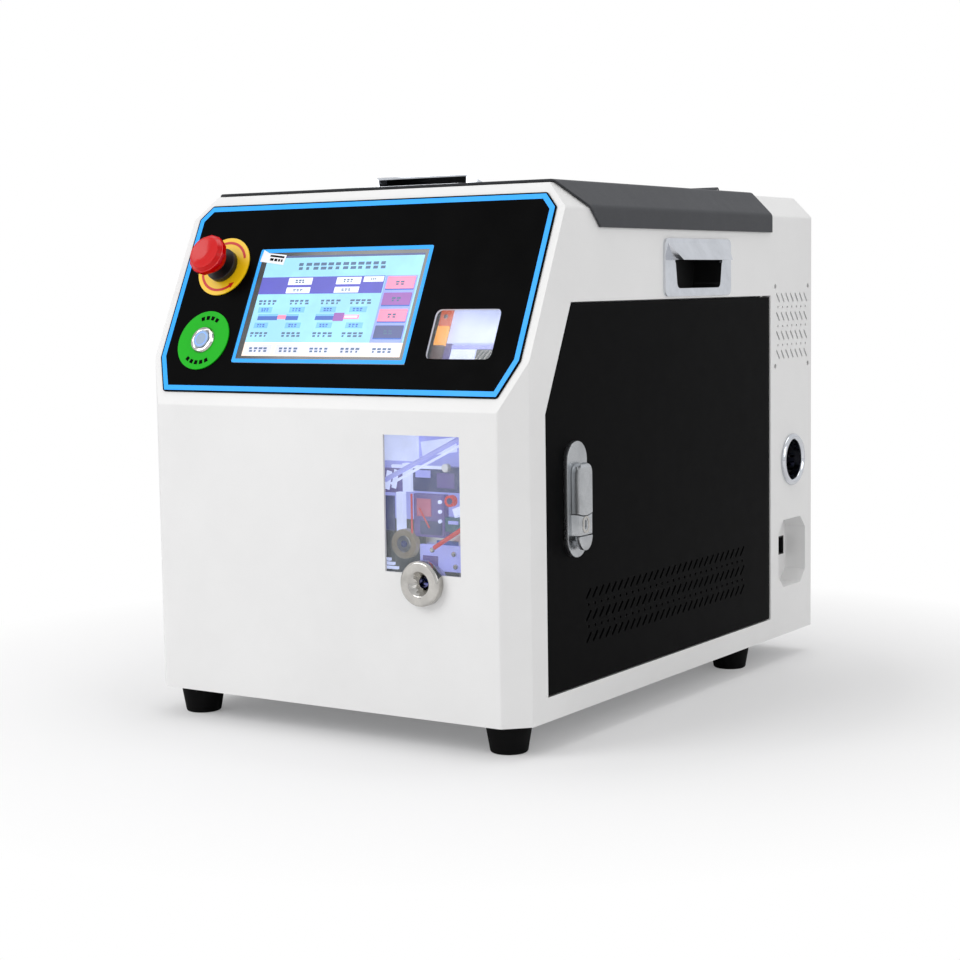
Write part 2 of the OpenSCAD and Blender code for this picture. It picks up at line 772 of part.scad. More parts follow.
// Stop button: collar and body fixed in the panel, plunger that slides, head that turns on it
stop_collar_h = 5;
stop_body_w = 22;
stop_body_deep = 30;
stop_rod_d = 9;
stop_rod_deep = 12;
stop_neck = 2;
stop_under = disc_t + overlay_t;
module stop_body() {
  color("dimgray") difference() {
    on_panel(disc_px, stop_s) {
      up(stop_under) cylinder(d = stop_collar_d, h = stop_collar_h);
      up(-sheet_t - nut_h) cylinder(d = stop_shank_d, h = stop_under + sheet_t + nut_h);
      translate([-stop_body_w / 2, -stop_body_w / 2, -sheet_t - nut_h - stop_body_deep])
        cube([stop_body_w, stop_body_w, stop_body_deep]);
    }
    on_panel(disc_px, stop_s, stop_under + stop_collar_h - stop_rod_deep - stop_travel - stop_neck)
      cylinder(d = stop_rod_d + 2 * run_c, h = stop_rod_deep + stop_travel + stop_neck + cut);
  }
}
stop_head_z = stop_under + stop_collar_h + stop_travel + stop_neck;
module stop_plunger() {
  color("dimgray") on_panel(disc_px, stop_s, stop_head_z) {
    up(-stop_rod_deep - stop_travel - stop_neck + 2 * air)
      cylinder(d = stop_rod_d, h = stop_rod_deep + stop_travel + stop_neck - 2 * air);
    cylinder(d = stop_pivot_d, h = stop_head_h / 2, $fn = $fn);
  }
}
stop_pivot_d = 7;
stop_facets = 12;
stop_dish = 2;
// Red head: waisted skirt, faceted rim and a dished crown
module stop_head() {
  r = stop_head_d / 2;
  color("red") on_panel(disc_px, stop_s, stop_head_z) difference() {
    union() {
      rotate_extrude() polygon([
        [0, 0], [r * 0.62, 0], [r * 0.66, stop_head_h * 0.3], [r * 0.9, stop_head_h * 0.5], [0, stop_head_h * 0.5]]);
      up(stop_head_h * 0.5)
        cylinder(d = stop_head_d, h = stop_head_h * 0.28, $fn = stop_facets);
      up(stop_head_h * 0.78) rotate_extrude() polygon([
        [0, 0], [r * 0.93, 0], [r * 0.8, stop_head_h * 0.22], [r * 0.5, stop_head_h * 0.16],
        [0, stop_head_h * 0.1]]);
    }
    up(-cut) cylinder(d = stop_pivot_d + 2 * run_c, h = stop_head_h / 2 + run_c + cut);
  }
}

// Power button: metal flange and body, lit cap inside
power_flange_h = 2.4;
power_body_deep = 26;
power_guide = 12;
power_up = overlay_t + disc_t;
module power_body() {
  color("silver") difference() {
    on_panel(disc_px, power_s) {
      up(power_up) cylinder(d1 = power_flange_d, d2 = power_flange_d - power_flange_h,
        h = power_flange_h);
      up(-sheet_t - power_body_deep)
        cylinder(d = power_shank_d, h = power_up + sheet_t + power_body_deep);
    }
    on_panel(disc_px, power_s, power_up + power_flange_h - power_guide - power_travel)
      cylinder(d = power_cap_d + 2 * run_c, h = power_guide + power_travel + cut);
  }
}
power_cap_out = 0.6;
power_ring_deep = 0.4;
module power_cap() {
  color("white") on_panel(disc_px, power_s, power_up + power_flange_h - power_guide + air) difference() {
    cylinder(d = power_cap_d, h = power_guide - air + power_cap_out);
    up(power_guide - air + power_cap_out - power_ring_deep) difference() {
      cylinder(d = power_cap_d * 0.8, h = power_guide);
      bore(power_cap_d * 0.7, power_guide);
    }
  }
}

// Recessed hand grip: flange, pocket behind it and a hood that slopes out to a lip
grip_mouth_w = 88;
grip_mouth_low = 17;
grip_lip_y = 6;
grip_hood_w = 112;
grip_lip_w = 90;
module grip() {
  hood_top = grip_h / 2 - grip_wall;
  difference() {
    union() {
      linear_extrude(grip_wall) polygon(soft_box(grip_w, grip_h, grip_r));
      up(-grip_deep) linear_extrude(grip_deep + grip_wall / 2)
        polygon(soft_box(grip_hole_w, grip_hole_h, grip_r));
      hood(hood_top, grip_out, grip_hood_w, grip_lip_w);
    }
    up(-grip_deep + grip_wall) linear_extrude(grip_deep)
      polygon(rounded([[-grip_mouth_w / 2 + grip_r, -grip_mouth_low],
        [grip_mouth_w / 2 - grip_r, -grip_mouth_low], [grip_mouth_w / 2, grip_hole_h / 2 - grip_wall],
        [-grip_mouth_w / 2, grip_hole_h / 2 - grip_wall]], [grip_r, grip_r, grip_wall, grip_wall]));
    up(-cut) hood(hood_top - 2 * grip_wall, grip_out - grip_wall + cut,
      grip_mouth_w, grip_lip_w - 2 * grip_wall, 2 * cut);
  }
}
// The hood's solid: slopes from its top edge out to the lip, narrower at the lip
module hood(top, out, wide, lip, below = 0)
  intersection() {
    rotate([90, 0, 90]) up(-wide / 2) linear_extrude(wide)
      polygon([[grip_lip_y - below, 0], [top, 0], [top, grip_wall / 2], [grip_lip_y, out],
        [grip_lip_y - below, out]]);
    linear_extrude(out) polygon([[-lip / 2, grip_lip_y - below], [lip / 2, grip_lip_y - below],
      [lip / 2, grip_lip_y], [wide / 2, top], [-wide / 2, top], [-lip / 2, grip_lip_y]]);
  }
module side_grips()
  color("silver") for (side = [0, 1]) mirror([side, 0, 0]) on_right(grip_py, grip_z) grip();

// Round port: chromed sleeve through the side
ring_deep = 20;
module round_port() {
  color("silver") on_right(ring_py, ring_z) rotate_extrude() polygon([
    [ring_bore_d / 2, -ring_deep], [ring_shank_d / 2, -ring_deep], [ring_shank_d / 2, 0],
    [ring_d / 2, 0], [ring_d / 2, ring_out / 2], [ring_d / 2 - ring_out / 2, ring_out],
    [ring_bore_d / 2 + ring_out / 2, ring_out], [ring_bore_d / 2, ring_out / 2]]);
}

// Octagonal recess: a box behind the side sheet, with the power socket in its floor
socket_w = 25;
socket_h = 17;
socket_deep = 18;
socket_wall = 2;
socket_y = 14;
socket_z = 2;
pin_blade = [2, 4, 12];
module recess_box() {
  color("gainsboro") difference() {
    on_right(recess_py, recess_z, -sheet_t - recess_deep) linear_extrude(recess_deep)
      polygon(cut_box(recess_w + 2 * recess_wall, recess_h + 2 * recess_wall, recess_cut));
    on_right(recess_py, recess_z, -sheet_t - recess_deep + recess_wall) linear_extrude(recess_deep)
      polygon(cut_box(recess_w, recess_h, recess_cut));
    on_right(recess_py + socket_y, recess_z + socket_z, -sheet_t - recess_deep + recess_wall)
      through(recess_wall) polygon(box_pts(socket_w + fit_c, socket_h + fit_c));
  }
}
module power_socket() {
  color("dimgray") on_right(recess_py + socket_y, recess_z + socket_z, -sheet_t - recess_deep) {
    difference() {
      union() {
        up(-socket_deep) linear_extrude(socket_deep)
          polygon(box_pts(socket_w + 2 * socket_wall, socket_h + 2 * socket_wall));
        linear_extrude(recess_wall) polygon(box_pts(socket_w, socket_h));
      }
      up(-socket_deep + socket_wall) linear_extrude(socket_deep)
        polygon(box_pts(socket_w - socket_wall, socket_h - socket_wall));
    }
    for (i = [-1:1]) translate([i * socket_w / 4, 0, -socket_deep + socket_wall])
      up(pin_blade[2] / 2) cube([pin_blade[0], pin_blade[1], pin_blade[2]], center = true);
  }
}

// Fan: frame behind the vent, rotor that spins in it
fan_hub_d = 34;
fan_shaft_d = 4;
fan_blades = 7;
fan_tip_gap = 1.5;
fan_wall = 2;
fan_back = 3;
fan_arm_w = 4;
fan_hub_t = 18;
module fan_frame() {
  bore = fan_size - 2 * fan_wall;
  color("dimgray") on_right(fan_px, fan_z, -sheet_t - fan_t) difference() {
    union() {
      difference() {
        linear_extrude(fan_t) polygon(soft_box(fan_size, fan_size, 2 * fan_wall));
        up(fan_back) cylinder(d = bore, h = fan_t);
        bore(bore, fan_back);
      }
      for (a = [0:90:270]) rotate(a + 45) translate([0, -fan_arm_w / 2, 0])
        cube([bore / 2 + fan_wall / 2, fan_arm_w, fan_back]);
      cylinder(d = fan_hub_d, h = fan_back);
      cylinder(d = fan_shaft_d, h = fan_t - fan_back);
    }
    for (i = [-1, 1], j = [-1, 1]) translate([i * fan_pitch / 2, j * fan_pitch / 2, 0])
      bore(fan_screw_d, fan_t, small_fn);
  }
}
module fan_rotor() {
  tip = fan_size / 2 - fan_wall - fan_tip_gap;
  blade_h = fan_hub_t * 0.8;
  color("black") on_right(fan_px, fan_z, -sheet_t - fan_t + fan_back + air) difference() {
    union() {
      cylinder(d = fan_hub_d, h = fan_hub_t);
      for (k = [0:fan_blades - 1]) rotate(k * 360 / fan_blades)
        translate([fan_hub_d / 2 - fan_wall, 0, fan_hub_t / 2]) rotate([38, 0, 0])
          translate([0, -fan_hub_t / 2, -fan_wall / 2])
            cube([tip - fan_hub_d / 2 - fan_wall, fan_hub_t * 0.9, fan_wall / 1.5]);
    }
    bore(fan_shaft_d + 2 * run_c, fan_hub_t);
  }
}

// Side door: sheet with bent edges, vent rows low down, bored blocks for the hinge pins
door_vent_rear = 46;
door_rows = 3;
door_vent_front = 60;
door_vent_y = door_y0 + door_vent_front;
door_cols = floor((door_y1 - door_vent_y - door_vent_rear) / slot_step);
door_vent_z = 88;
door_rear_depth = 8;
door_block = 10;
block_deep = 9.5;
block_half = 4.8;
door_lock_hole = 22;
lock_py = door_y0 + lock_y;
module side_door() {
  color([0.15, 0.15, 0.16]) difference() {
    union() {
      on_right(0, 0, -sheet_t) linear_extrude(sheet_t) difference() {
        polygon(door_pts(0, 0));
        translate([door_vent_y, door_vent_z]) vent(door_cols, door_rows, 45);
        translate([lock_py, lock_z + lock_pivot]) circle(d = door_lock_hole);
        translate([lock_py, lock_z + button_y]) circle(d = lock_stem_d + 2 * fit_c, $fn = small_fn);
      }
      difference() {
        on_right(0, 0, -door_depth) linear_extrude(door_depth - sheet_t / 2) difference() {
          polygon(door_pts(0, 0));
          polygon(door_pts(-sheet_t, -sheet_t));
        }
        on_right(door_y1 - sheet_t - door_block, 0, -door_depth - cut)
          cube([2 * door_block, body_h, door_depth - door_rear_depth + cut]);
      }
      door_pin_places() translate([-block_deep + pin_in, -block_half, door_gap])
        cube([block_deep - sheet_t / 2, 2 * block_half - air, door_block]);
    }
    door_pin_places() bore(pin_d + 2 * run_c, pin_reach);
  }
}

// Hinge pins: two upright ones with heads for the door, two long ones for the lid
lid_pin_d = 4;
lid_barrel_d = 8;
lid_barrel_w = 42;
lid_leaf = 24;
lid_hinge_x = 105;
lid_axis_y = lid_y1 + lid_barrel_d / 2 + lid_gap;
lid_axis_z = z_top + lid_barrel_d / 2 + lid_gap;
module hinge_pins() {
  color("silver") {
    door_pin_places() {
      up(-sheet_t) cylinder(d = pin_d, h = pin_reach + sheet_t);
      up(-sheet_t - pin_head_h) cylinder(d = pin_head_d, h = pin_head_h);
    }
    for (side = [-1, 1]) translate([side * lid_hinge_x - lid_barrel_w / 2, lid_axis_y, lid_axis_z])
      bar_x(lid_pin_d, lid_barrel_w);
  }
}

// Lid hinges: outer knuckles and leaf on the housing, middle knuckle and leaf on the lid
lid_knuckle = 14;
module lid_hinge(inner) {
  w = lid_barrel_w;
  z0 = inner ? z_top + lid_gap + lid_t : z_top;
  difference() {
    union() {
      translate([-w / 2, lid_axis_y, lid_axis_z]) bar_x(lid_barrel_d, w);
      translate([-w / 2, inner ? lid_axis_y - lid_barrel_d / 2 - lid_leaf : lid_axis_y, z0])
        cube([w, lid_leaf + lid_barrel_d / 2, sheet_t]);
    }
    translate([-w / 2 - cut, lid_axis_y, lid_axis_z])
      bar_x(inner ? lid_pin_d + 2 * run_c : lid_pin_d, w + 2 * cut);
    if (inner) for (s = [-1, 1])
      translate([s * (lid_knuckle / 2 + w / 2) - w / 2, lid_axis_y - lid_barrel_d / 2 - lid_gap, z_top - cut])
        cube([w, lid_barrel_d + lid_leaf, 2 * lid_barrel_d]);
    else translate([-lid_knuckle / 2 - air, lid_axis_y - lid_barrel_d, z_top - cut])
      cube([lid_knuckle + 2 * air, lid_barrel_d * 1.5 + lid_gap, 2 * lid_barrel_d]);
  }
}
module hinge_leaves() color("dimgray") for (s = [-1, 1]) translate([s * lid_hinge_x, 0, 0]) lid_hinge(false);
module lid_leaves() color("dimgray") for (s = [-1, 1]) translate([s * lid_hinge_x, 0, 0]) lid_hinge(true);

// Lid: sheet that follows the housing's top, cut edges and a little of the sides
module lid() {
  hole_y = lid_y0 + lid_grip_y;
  slant = lid_skirt + lid_gap + lid_t;
  color([0.2, 0.2, 0.21]) difference() {
    form(-lid_gap - lid_t);
    form(-lid_gap);
    rotate([90, 0, 90]) up(-body_w) linear_extrude(2 * body_w) difference() {
      translate([y_front - body_d, 0]) square([3 * body_d, 2 * z_top]);
      polygon([[lid_y1, z_top - lid_skirt], [lid_y0 + slant, z_top - lid_skirt],
        [lid_y0, z_top - lid_skirt + slant], [lid_y0, z_top + body_h], [lid_y1, z_top + body_h]]);
    }
    translate([0, hole_y, z_top]) linear_extrude(body_h)
      polygon(soft_box(grip_hole_w + fit_c, grip_hole_h + fit_c, grip_r));
  }
}
module lid_grip()
  color("silver") translate([0, lid_y0 + lid_grip_y, z_top + lid_gap + lid_t]) grip();

// Door lock: base plate, rotor with shaft and cam, lever that swings out, push button
lock_pivot = 19.3;
lock_shaft_d = 12;
lock_slit = 0.8;
lever_len = 31;
lever_skin = 1;
axle_up = 5;
axle_d = 2.2;
tongue_r = 2.3;
tongue_w = 6;
tongue_low = 3;
key_h = 14;
keyhole_deep = 3;
keyhole_len = 7;
keyhole_w = 2.6;
button_h = 11;
lock_stem_d = 6;
cam_w = 14;
cam_plate_t = 3;
cam_reach = 36;
cam_free = 0.6;
cam_depth = jamb_in + sheet_t + cam_free;
axle_z = lock_base_t + air + lever_t / 2;
button_top = lever_len + 2 * lock_slit + key_h;
button_y = lock_pivot - button_top - button_h / 2;

module on_lock(lift = 0) on_right(lock_py, lock_z + lock_pivot, lift) children();
function upright(p) = [for (q = p) [-q[1], q[0]]];

module lock_base() {
  color("silver") difference() {
    union() {
      on_right(lock_py, lock_z) linear_extrude(lock_base_t) polygon(upright(slot_pts(lock_h, lock_w, 12)));
      on_lock(-cam_depth + air) cylinder(d = door_lock_hole - fit_c, h = cam_depth - air);
      on_lock(lock_base_t - air) linear_extrude(lever_t + air) intersection() {
        polygon(box_pts(lever_w, 2 * (lever_len + lock_slit + key_h)));
        difference() {
          polygon(box_pts(lever_w, 4 * lever_len));
          circle(r = lever_len + lock_slit);
          translate([0, 2 * lever_len]) polygon(box_pts(2 * lever_w, 4 * lever_len));
        }
      }
    }
    on_lock(-cam_depth) cylinder(d = lock_shaft_d + 2 * run_c, h = cam_depth + lock_base_t + cut);
    on_right(lock_py, lock_z + button_y) bore(lock_stem_d + 2 * run_c, lock_base_t, small_fn);
    on_lock(lock_base_t + lever_t - keyhole_deep) linear_extrude(keyhole_deep + cut)
      translate([0, -lever_len - key_h / 2]) polygon(upright(slot_pts(keyhole_len, keyhole_w)));
  }
}

// Shaft, tongue that carries the lever, and the cam that turns behind the door frame
module lock_rotor() {
  color("silver") on_lock() {
    up(-cam_depth) cylinder(d = lock_shaft_d, h = cam_depth + lock_base_t + air);
    translate([-cam_w / 2, -cam_w / 2, -cam_depth - cam_plate_t]) cube([cam_w, cam_reach + cam_w / 2, cam_plate_t]);
    difference() {
      union() {
        translate([-tongue_w / 2, axle_up, axle_z]) bar_x(2 * tongue_r, tongue_w, small_fn);
        translate([-tongue_w / 2, -tongue_low, lock_base_t])
          cube([tongue_w, tongue_low + axle_up, lever_t / 2 + air]);
      }
      translate([-tongue_w, axle_up, axle_z]) bar_x(axle_d + 2 * run_c, 2 * tongue_w, small_fn);
    }
  }
}

// Lever outline: round top, foot curved about the rotor's axis
function lever_pts() =
  let (side = asin(lever_w / 2 / lever_len))
  concat(arc(lever_w / 2, 0, 180, 12), arc(lever_len, 270 - side, 270 + side, 6));
module lock_lever() {
  color("silver") on_lock() {
    difference() {
      union() {
        up(lock_base_t + air) linear_extrude(lever_t) intersection() {
          polygon(lever_pts());
          translate([-lever_w, axle_up - 2 * lever_len]) square([2 * lever_w, 2 * lever_len]);
        }
        intersection() {
          up(lock_base_t + air) linear_extrude(lever_t) polygon(lever_pts());
          translate([-lever_w, axle_up, axle_z]) bar_x(lever_t, 2 * lever_w, $fn);
        }
      }
      translate([-tongue_w / 2 - air, -tongue_low - 2 * air, 0])
        cube([tongue_w + 2 * air, lever_w, lock_base_t + air + lever_t - lever_skin]);
    }
    translate([-lever_w / 2 + lever_skin, axle_up, axle_z]) bar_x(axle_d, lever_w - 2 * lever_skin, small_fn);
  }
}

// Half-round push button with its stem
module lock_button() {
  low = lock_base_t + lock_travel + air;
  color("silver") {
    on_lock(low) linear_extrude(lock_base_t + air + lever_t - low) translate([0, -button_top])
      polygon(concat([[lever_w / 2, 0], [-lever_w / 2, 0]],
        [for (p = arc(1, 190, 350, 10)) [p[0] * lever_w / 2, p[1] * button_h]]));
    on_right(lock_py, lock_z + button_y, -lock_base_t) cylinder(d = lock_stem_d, h = low + lock_base_t + air,
      $fn = small_fn);
  }
}

// Mechanism, placed from the wire axis: y counts from the housing's front into the machine
table_t = 12;
table_drop = 56;
table_y0 = 30;
table_y1 = 250;
table_left = 92;
table_right = 58;
leg_d = 16;
leg_in = 12;
table_z = wire_z - table_drop - table_t;
motor_gap = 1;

// An outline in X and Z, extruded from y to y + h
module plate_y(y, h) translate([0, y + h, 0]) rotate([90, 0, 0]) linear_extrude(h) children();

// Table that carries the mechanism, with its legs on the base pan
module mech_table() {
  leg_h = table_z - 2 * sheet_t;
  color("silver") on_wire() up(-table_drop - table_t) {
    difference() {
      translate([-table_left, table_y0, 0]) cube([table_left + table_right, table_y1 - table_y0, table_t]);
      translate([-step_w / 2 - motor_gap, block_y1, -cut])
        cube([step_w + 2 * motor_gap, step_len + 2 * motor_gap, table_t + 2 * cut]);
      translate([-chute_w / 2, strip_y0 - strip_travel / 2, -cut])
        cube([chute_w, chute_w, table_t + 2 * cut]);
    }
    for (x = [-table_left + leg_in, table_right - leg_in], y = [table_y0 + leg_in, table_y1 - leg_in])
      translate([x, y, -leg_h]) cylinder(d = leg_d, h = leg_h);
  }
}
chute_w = 26;

// Wire clamp: frame with a guide window, two jaws that close on the wire
clamp_y0 = 32;
clamp_t = 12;
clamp_w = 20;
clamp_gap = 0.6;
clamp_open = clamp_travel + clamp_gap;
clamp_h = 24;
clamp_wall = 10;
plate_r = 3;
foot_w = 44;
foot_block_h = 20;
rod_x = 32;
rod_drop = 48.5;
rod_hole_d = rod_d + 2 * run_c;
module clamp_frame() {
  color("silver") on_wire() difference() {
    union() {
      plate_y(clamp_y0, clamp_t) polygon(soft_box(clamp_w + 2 * clamp_wall, 2 * (clamp_h + clamp_open + clamp_wall), plate_r));
      translate([-foot_w, clamp_y0, -table_drop]) cube([2 * foot_w, clamp_t, foot_block_h]);
    }
    plate_y(clamp_y0 - cut, clamp_t + 2 * cut)
      polygon(box_pts(clamp_w + 2 * run_c, 2 * (clamp_h + clamp_open + air)));
    for (s = [-1, 1]) translate([s * rod_x, clamp_y0 - cut, -rod_drop]) bar_y(rod_hole_d, clamp_t + 2 * cut);
    translate([0, clamp_y0 - cut, -rod_drop]) bar_y(screw_d + 2 * run_c, clamp_t + 2 * cut);
  }
}
module clamp_jaw()
  plate_y(clamp_y0, clamp_t) polygon([[-clamp_w / 2, clamp_open + clamp_h], [-clamp_w / 2, clamp_open],
    [-clamp_open, clamp_open], [0, 2 * clamp_open], [clamp_open, clamp_open], [clamp_w / 2, clamp_open],
    [clamp_w / 2, clamp_open + clamp_h]]);
module clamp_upper() color("steelblue") on_wire() clamp_jaw();
module clamp_lower() color("steelblue") on_wire() mirror([0, 0, 1]) clamp_jaw();

// Stripping carriage on two rods, with a guide window for the blades
strip_y0 = 54;
strip_t = 14;
blade_w = 24;
blade_h = 28;
blade_gap = 0.4;
blade_open = blade_travel + blade_gap;
blade_edge = 5;
carriage_wall = 9;
carriage_low = 55;
carriage_foot_h = 15;
module strip_carriage() {
  color("gainsboro") on_wire() difference() {
    union() {
      plate_y(strip_y0, strip_t) polygon(soft_box(blade_w + 2 * carriage_wall,
        2 * (blade_h + blade_open + carriage_wall), plate_r));
      translate([-foot_w, strip_y0, -carriage_low]) cube([2 * foot_w, strip_t, carriage_foot_h]);
    }
    plate_y(strip_y0 - cut, strip_t + 2 * cut)
      polygon(box_pts(blade_w + 2 * run_c, 2 * (blade_h + blade_open + air)));
    for (s = [-1, 1]) translate([s * rod_x, strip_y0 - cut, -rod_drop]) bar_y(rod_hole_d, strip_t + 2 * cut);
    translate([0, strip_y0 - cut, -rod_drop]) bar_y(screw_d + 2 * run_c, strip_t + 2 * cut);
  }
}
// Blade: V notch, ground edge towards the wire, two holes for its screws
module blade() {
  difference() {
    plate_y(strip_y0, strip_t) polygon([[-blade_w / 2, blade_open + blade_h], [-blade_w / 2, blade_open],
      [-blade_edge, blade_open], [0, blade_open + blade_edge / 2], [blade_edge, blade_open],
      [blade_w / 2, blade_open], [blade_w / 2, blade_open + blade_h]]);
    translate([-blade_w, strip_y0 + strip_t, blade_open - blade_edge]) rotate([45, 0, 0])
      cube([2 * blade_w, 2 * blade_edge, 2 * blade_edge]);
    for (z = [1 / 3, 3 / 4]) translate([0, strip_y0 - cut, blade_open + z * blade_h])
      bar_y(blade_edge, strip_t + 2 * cut, small_fn);
  }
}
module blade_upper() color("lightsteelblue") on_wire() blade();
module blade_lower() color("lightsteelblue") on_wire() mirror([0, 0, 1]) blade();
module guide_rods() {
  color("silver") on_wire() for (s = [-1, 1]) translate([s * rod_x, clamp_y0, -rod_drop])
    bar_y(rod_d, head_y + rod_seat - clamp_y0);
}
rod_seat = 12;

// Feed screw in clamp frame and crimp block, turned by the stepping motor behind
screw_ring_w = 4;
screw_ring_d = 14;
module feed_screw() {
  color("silver") on_wire() {
    translate([0, clamp_y0, -rod_drop]) bar_y(screw_d, block_y1 - clamp_y0 + step_seat);
    translate([0, head_y - screw_ring_w - air, -rod_drop]) bar_y(screw_ring_d, screw_ring_w);
  }
}
step_w = 42;
step_len = 40;
step_seat = 10;
step_play = 1;
module step_motor() {
  color("dimgray") on_wire() difference() {
    translate([0, block_y1 + air / 2, -rod_drop]) rotate([-90, 0, 0]) linear_extrude(step_len)
      polygon(cut_box(step_w, step_w, step_w / 10));
    translate([0, block_y1, -rod_drop]) bar_y(screw_d + 2 * run_c, step_seat + air + step_play);
  }
}

// Crimp head: block with guides for four dies, cam ring with spiral slots, servo pinion
head_y = 100;
cam_teeth = 54;
pinion_teeth = 18;
gear_m = cam_d / (cam_teeth + 2);
gear_play = 0.12;
pressure = 20;
pinion_x = gear_m * (cam_teeth + pinion_teeth) / 2;
pinion_d = gear_m * (pinion_teeth + 2);
block_back = 16;
block_y0 = head_y + cam_t + air;
block_y1 = block_y0 + block_back;
block_wall = 8;
hub_wall = 8;
die_t = 8;
die_tip = 2;
die_rim = 4;
die_out = cam_d / 2 - die_rim;
path_rim = 2;
cam_play = 1;
die_pin_d = 5;
die_pin_r = (cam_bore_d + gear_m * (cam_teeth - 2.5)) / 4 + die_travel / 2;
slot_play = 0.15;
slot_end = 6;
servo_w = 60;
servo_len = 96;
servo_shaft_d = 11;
servo_seat = 12;

// Involute gear outline with n teeth, each thinner by play
function inv_at(rb, r) = tan(acos(rb / r)) * 180 / PI - acos(rb / r);
function tooth_a(n, r, play) =
  let (rp = gear_m * n / 2, rb = rp * cos(pressure), q = max(r, rb))
  90 / n - play / rp * 90 / PI + inv_at(rb, rp) - inv_at(rb, q);
function gear_pts(n, play) =
  let (rp = gear_m * n / 2, root = rp - 1.25 * gear_m, tip = rp + gear_m, steps = 4)
  [for (k = [0:n - 1]) each concat(
    [for (i = [0:steps]) let (r = root + (tip - root) * i / steps, a = 360 * k / n - tooth_a(n, r, play))
      r * [cos(a), sin(a)]],
    [for (i = [steps:-1:0]) let (r = root + (tip - root) * i / steps, a = 360 * k / n + tooth_a(n, r, play))
      r * [cos(a), sin(a)]])];

// Radius of a die's pin after the ring has turned by a
function pin_r_at(a) = die_pin_r - die_travel * a / cam_turn;
// Spiral slot that starts at angle 0 and runs with the turn of the ring
module cam_slot() {
  steps = 10;
  w = die_pin_d / 2 + slot_play;
  a0 = -slot_end;
  a1 = cam_turn + slot_end;
  polygon(concat(
    [for (i = [0:steps]) let (a = a0 + (a1 - a0) * i / steps) (pin_r_at(a) - w) * [cos(a), sin(a)]],
    [for (i = [steps:-1:0]) let (a = a0 + (a1 - a0) * i / steps) (pin_r_at(a) + w) * [cos(a), sin(a)]]));
}
module cam_ring() {
  color("goldenrod") on_wire() plate_y(head_y, cam_t) difference() {
    polygon(gear_pts(cam_teeth, gear_play));
    circle(d = cam_bore_d);
    for (k = [0:3]) rotate(45 + 90 * k) cam_slot();
  }
}
module crimp_block() {
  color("lightslategray") on_wire() {
    difference() {
      translate([-pinion_x - servo_w / 2, head_y, -table_drop])
        cube([pinion_x + servo_w / 2 + cam_d / 2 + block_wall, block_y1 - head_y, table_drop + cam_d / 2 + block_wall]);
      translate([0, head_y - cut, 0]) bar_y(cam_d + 2 * cam_play, block_y0 - head_y + cut);
      translate([-pinion_x, head_y - cut, 0]) bar_y(pinion_d + 2 * cam_play, block_y0 - head_y + cut);
      plate_y(block_y0 - cut, die_t + 2 * run_c + cut) die_paths();
      translate([0, block_y0 - cut, 0]) bar_y(die_w, block_back + 2 * cut);
      translate([-pinion_x, block_y0 - cut, 0]) bar_y(servo_shaft_d + 2 * run_c, block_back + 2 * cut);
      for (s = [-1, 1]) translate([s * rod_x, head_y - cut, -rod_drop]) bar_y(rod_hole_d, rod_seat + cut);
      translate([0, head_y - cut, -rod_drop]) bar_y(screw_d + 2 * run_c, block_y1 - head_y + 2 * cut);
    }
    plate_y(head_y, block_y0 - head_y) difference() {
      circle(d = cam_bore_d - 2 * run_c);
      circle(d = cam_bore_d - 2 * hub_wall);
    }
  }
}
module die_paths()
  for (k = [0:3]) rotate(45 + 90 * k) translate([0, -die_w / 2 - run_c]) square([cam_d / 2 - path_rim, die_w + 2 * run_c]);

// Die: wedge-shaped tip, straight guide, pin that runs in the cam ring
module crimp_die(k) {
  r = die_open_d / 2;
  flank = die_w / 2 - die_tip;
  color("slategray") on_wire() {
    plate_y(block_y0 + run_c, die_t) rotate(45 + 90 * k) polygon([[r, -die_tip], [r + flank, -die_w / 2],
      [die_out, -die_w / 2], [die_out, die_w / 2], [r + flank, die_w / 2], [r, die_tip]]);
    rotate([0, -45 - 90 * k, 0]) translate([die_pin_r, head_y + air, 0])
      bar_y(die_pin_d, block_y0 + die_t / 2 - head_y - air, small_fn);
  }
}
module crimp_die_1() crimp_die(0);
module crimp_die_2() crimp_die(1);
module crimp_die_3() crimp_die(2);
module crimp_die_4() crimp_die(3);

// Servo motor behind the block, its shaft and pinion as one turning piece
servo_flange = 8;
servo_cap = 30;
servo_slim = 4;
module servo_motor() {
  color("dimgray") on_wire() translate([-pinion_x, block_y1, 0]) difference() {
    union() {
      plate_y(0, servo_flange) polygon(soft_box(servo_w, servo_w, servo_slim));
      plate_y(servo_flange, servo_len - servo_cap) polygon(cut_box(servo_w - servo_slim, servo_w - servo_slim, 2 * servo_slim));
      plate_y(servo_flange + servo_len - servo_cap, servo_cap)
        polygon(soft_box(servo_w - servo_slim / 2, servo_w - servo_slim / 2, servo_slim));
    }
    translate([0, -cut, 0]) bar_y(servo_shaft_d + 2 * run_c, servo_seat + cut);
  }
}
module servo_pinion() {
  color("silver") on_wire() translate([-pinion_x, 0, 0]) {
    plate_y(head_y, cam_t) rotate(180 / pinion_teeth) polygon(gear_pts(pinion_teeth, gear_play));
    translate([0, head_y + cam_t, 0]) bar_y(servo_shaft_d, block_y1 + servo_seat - air - head_y - cam_t);
  }
}

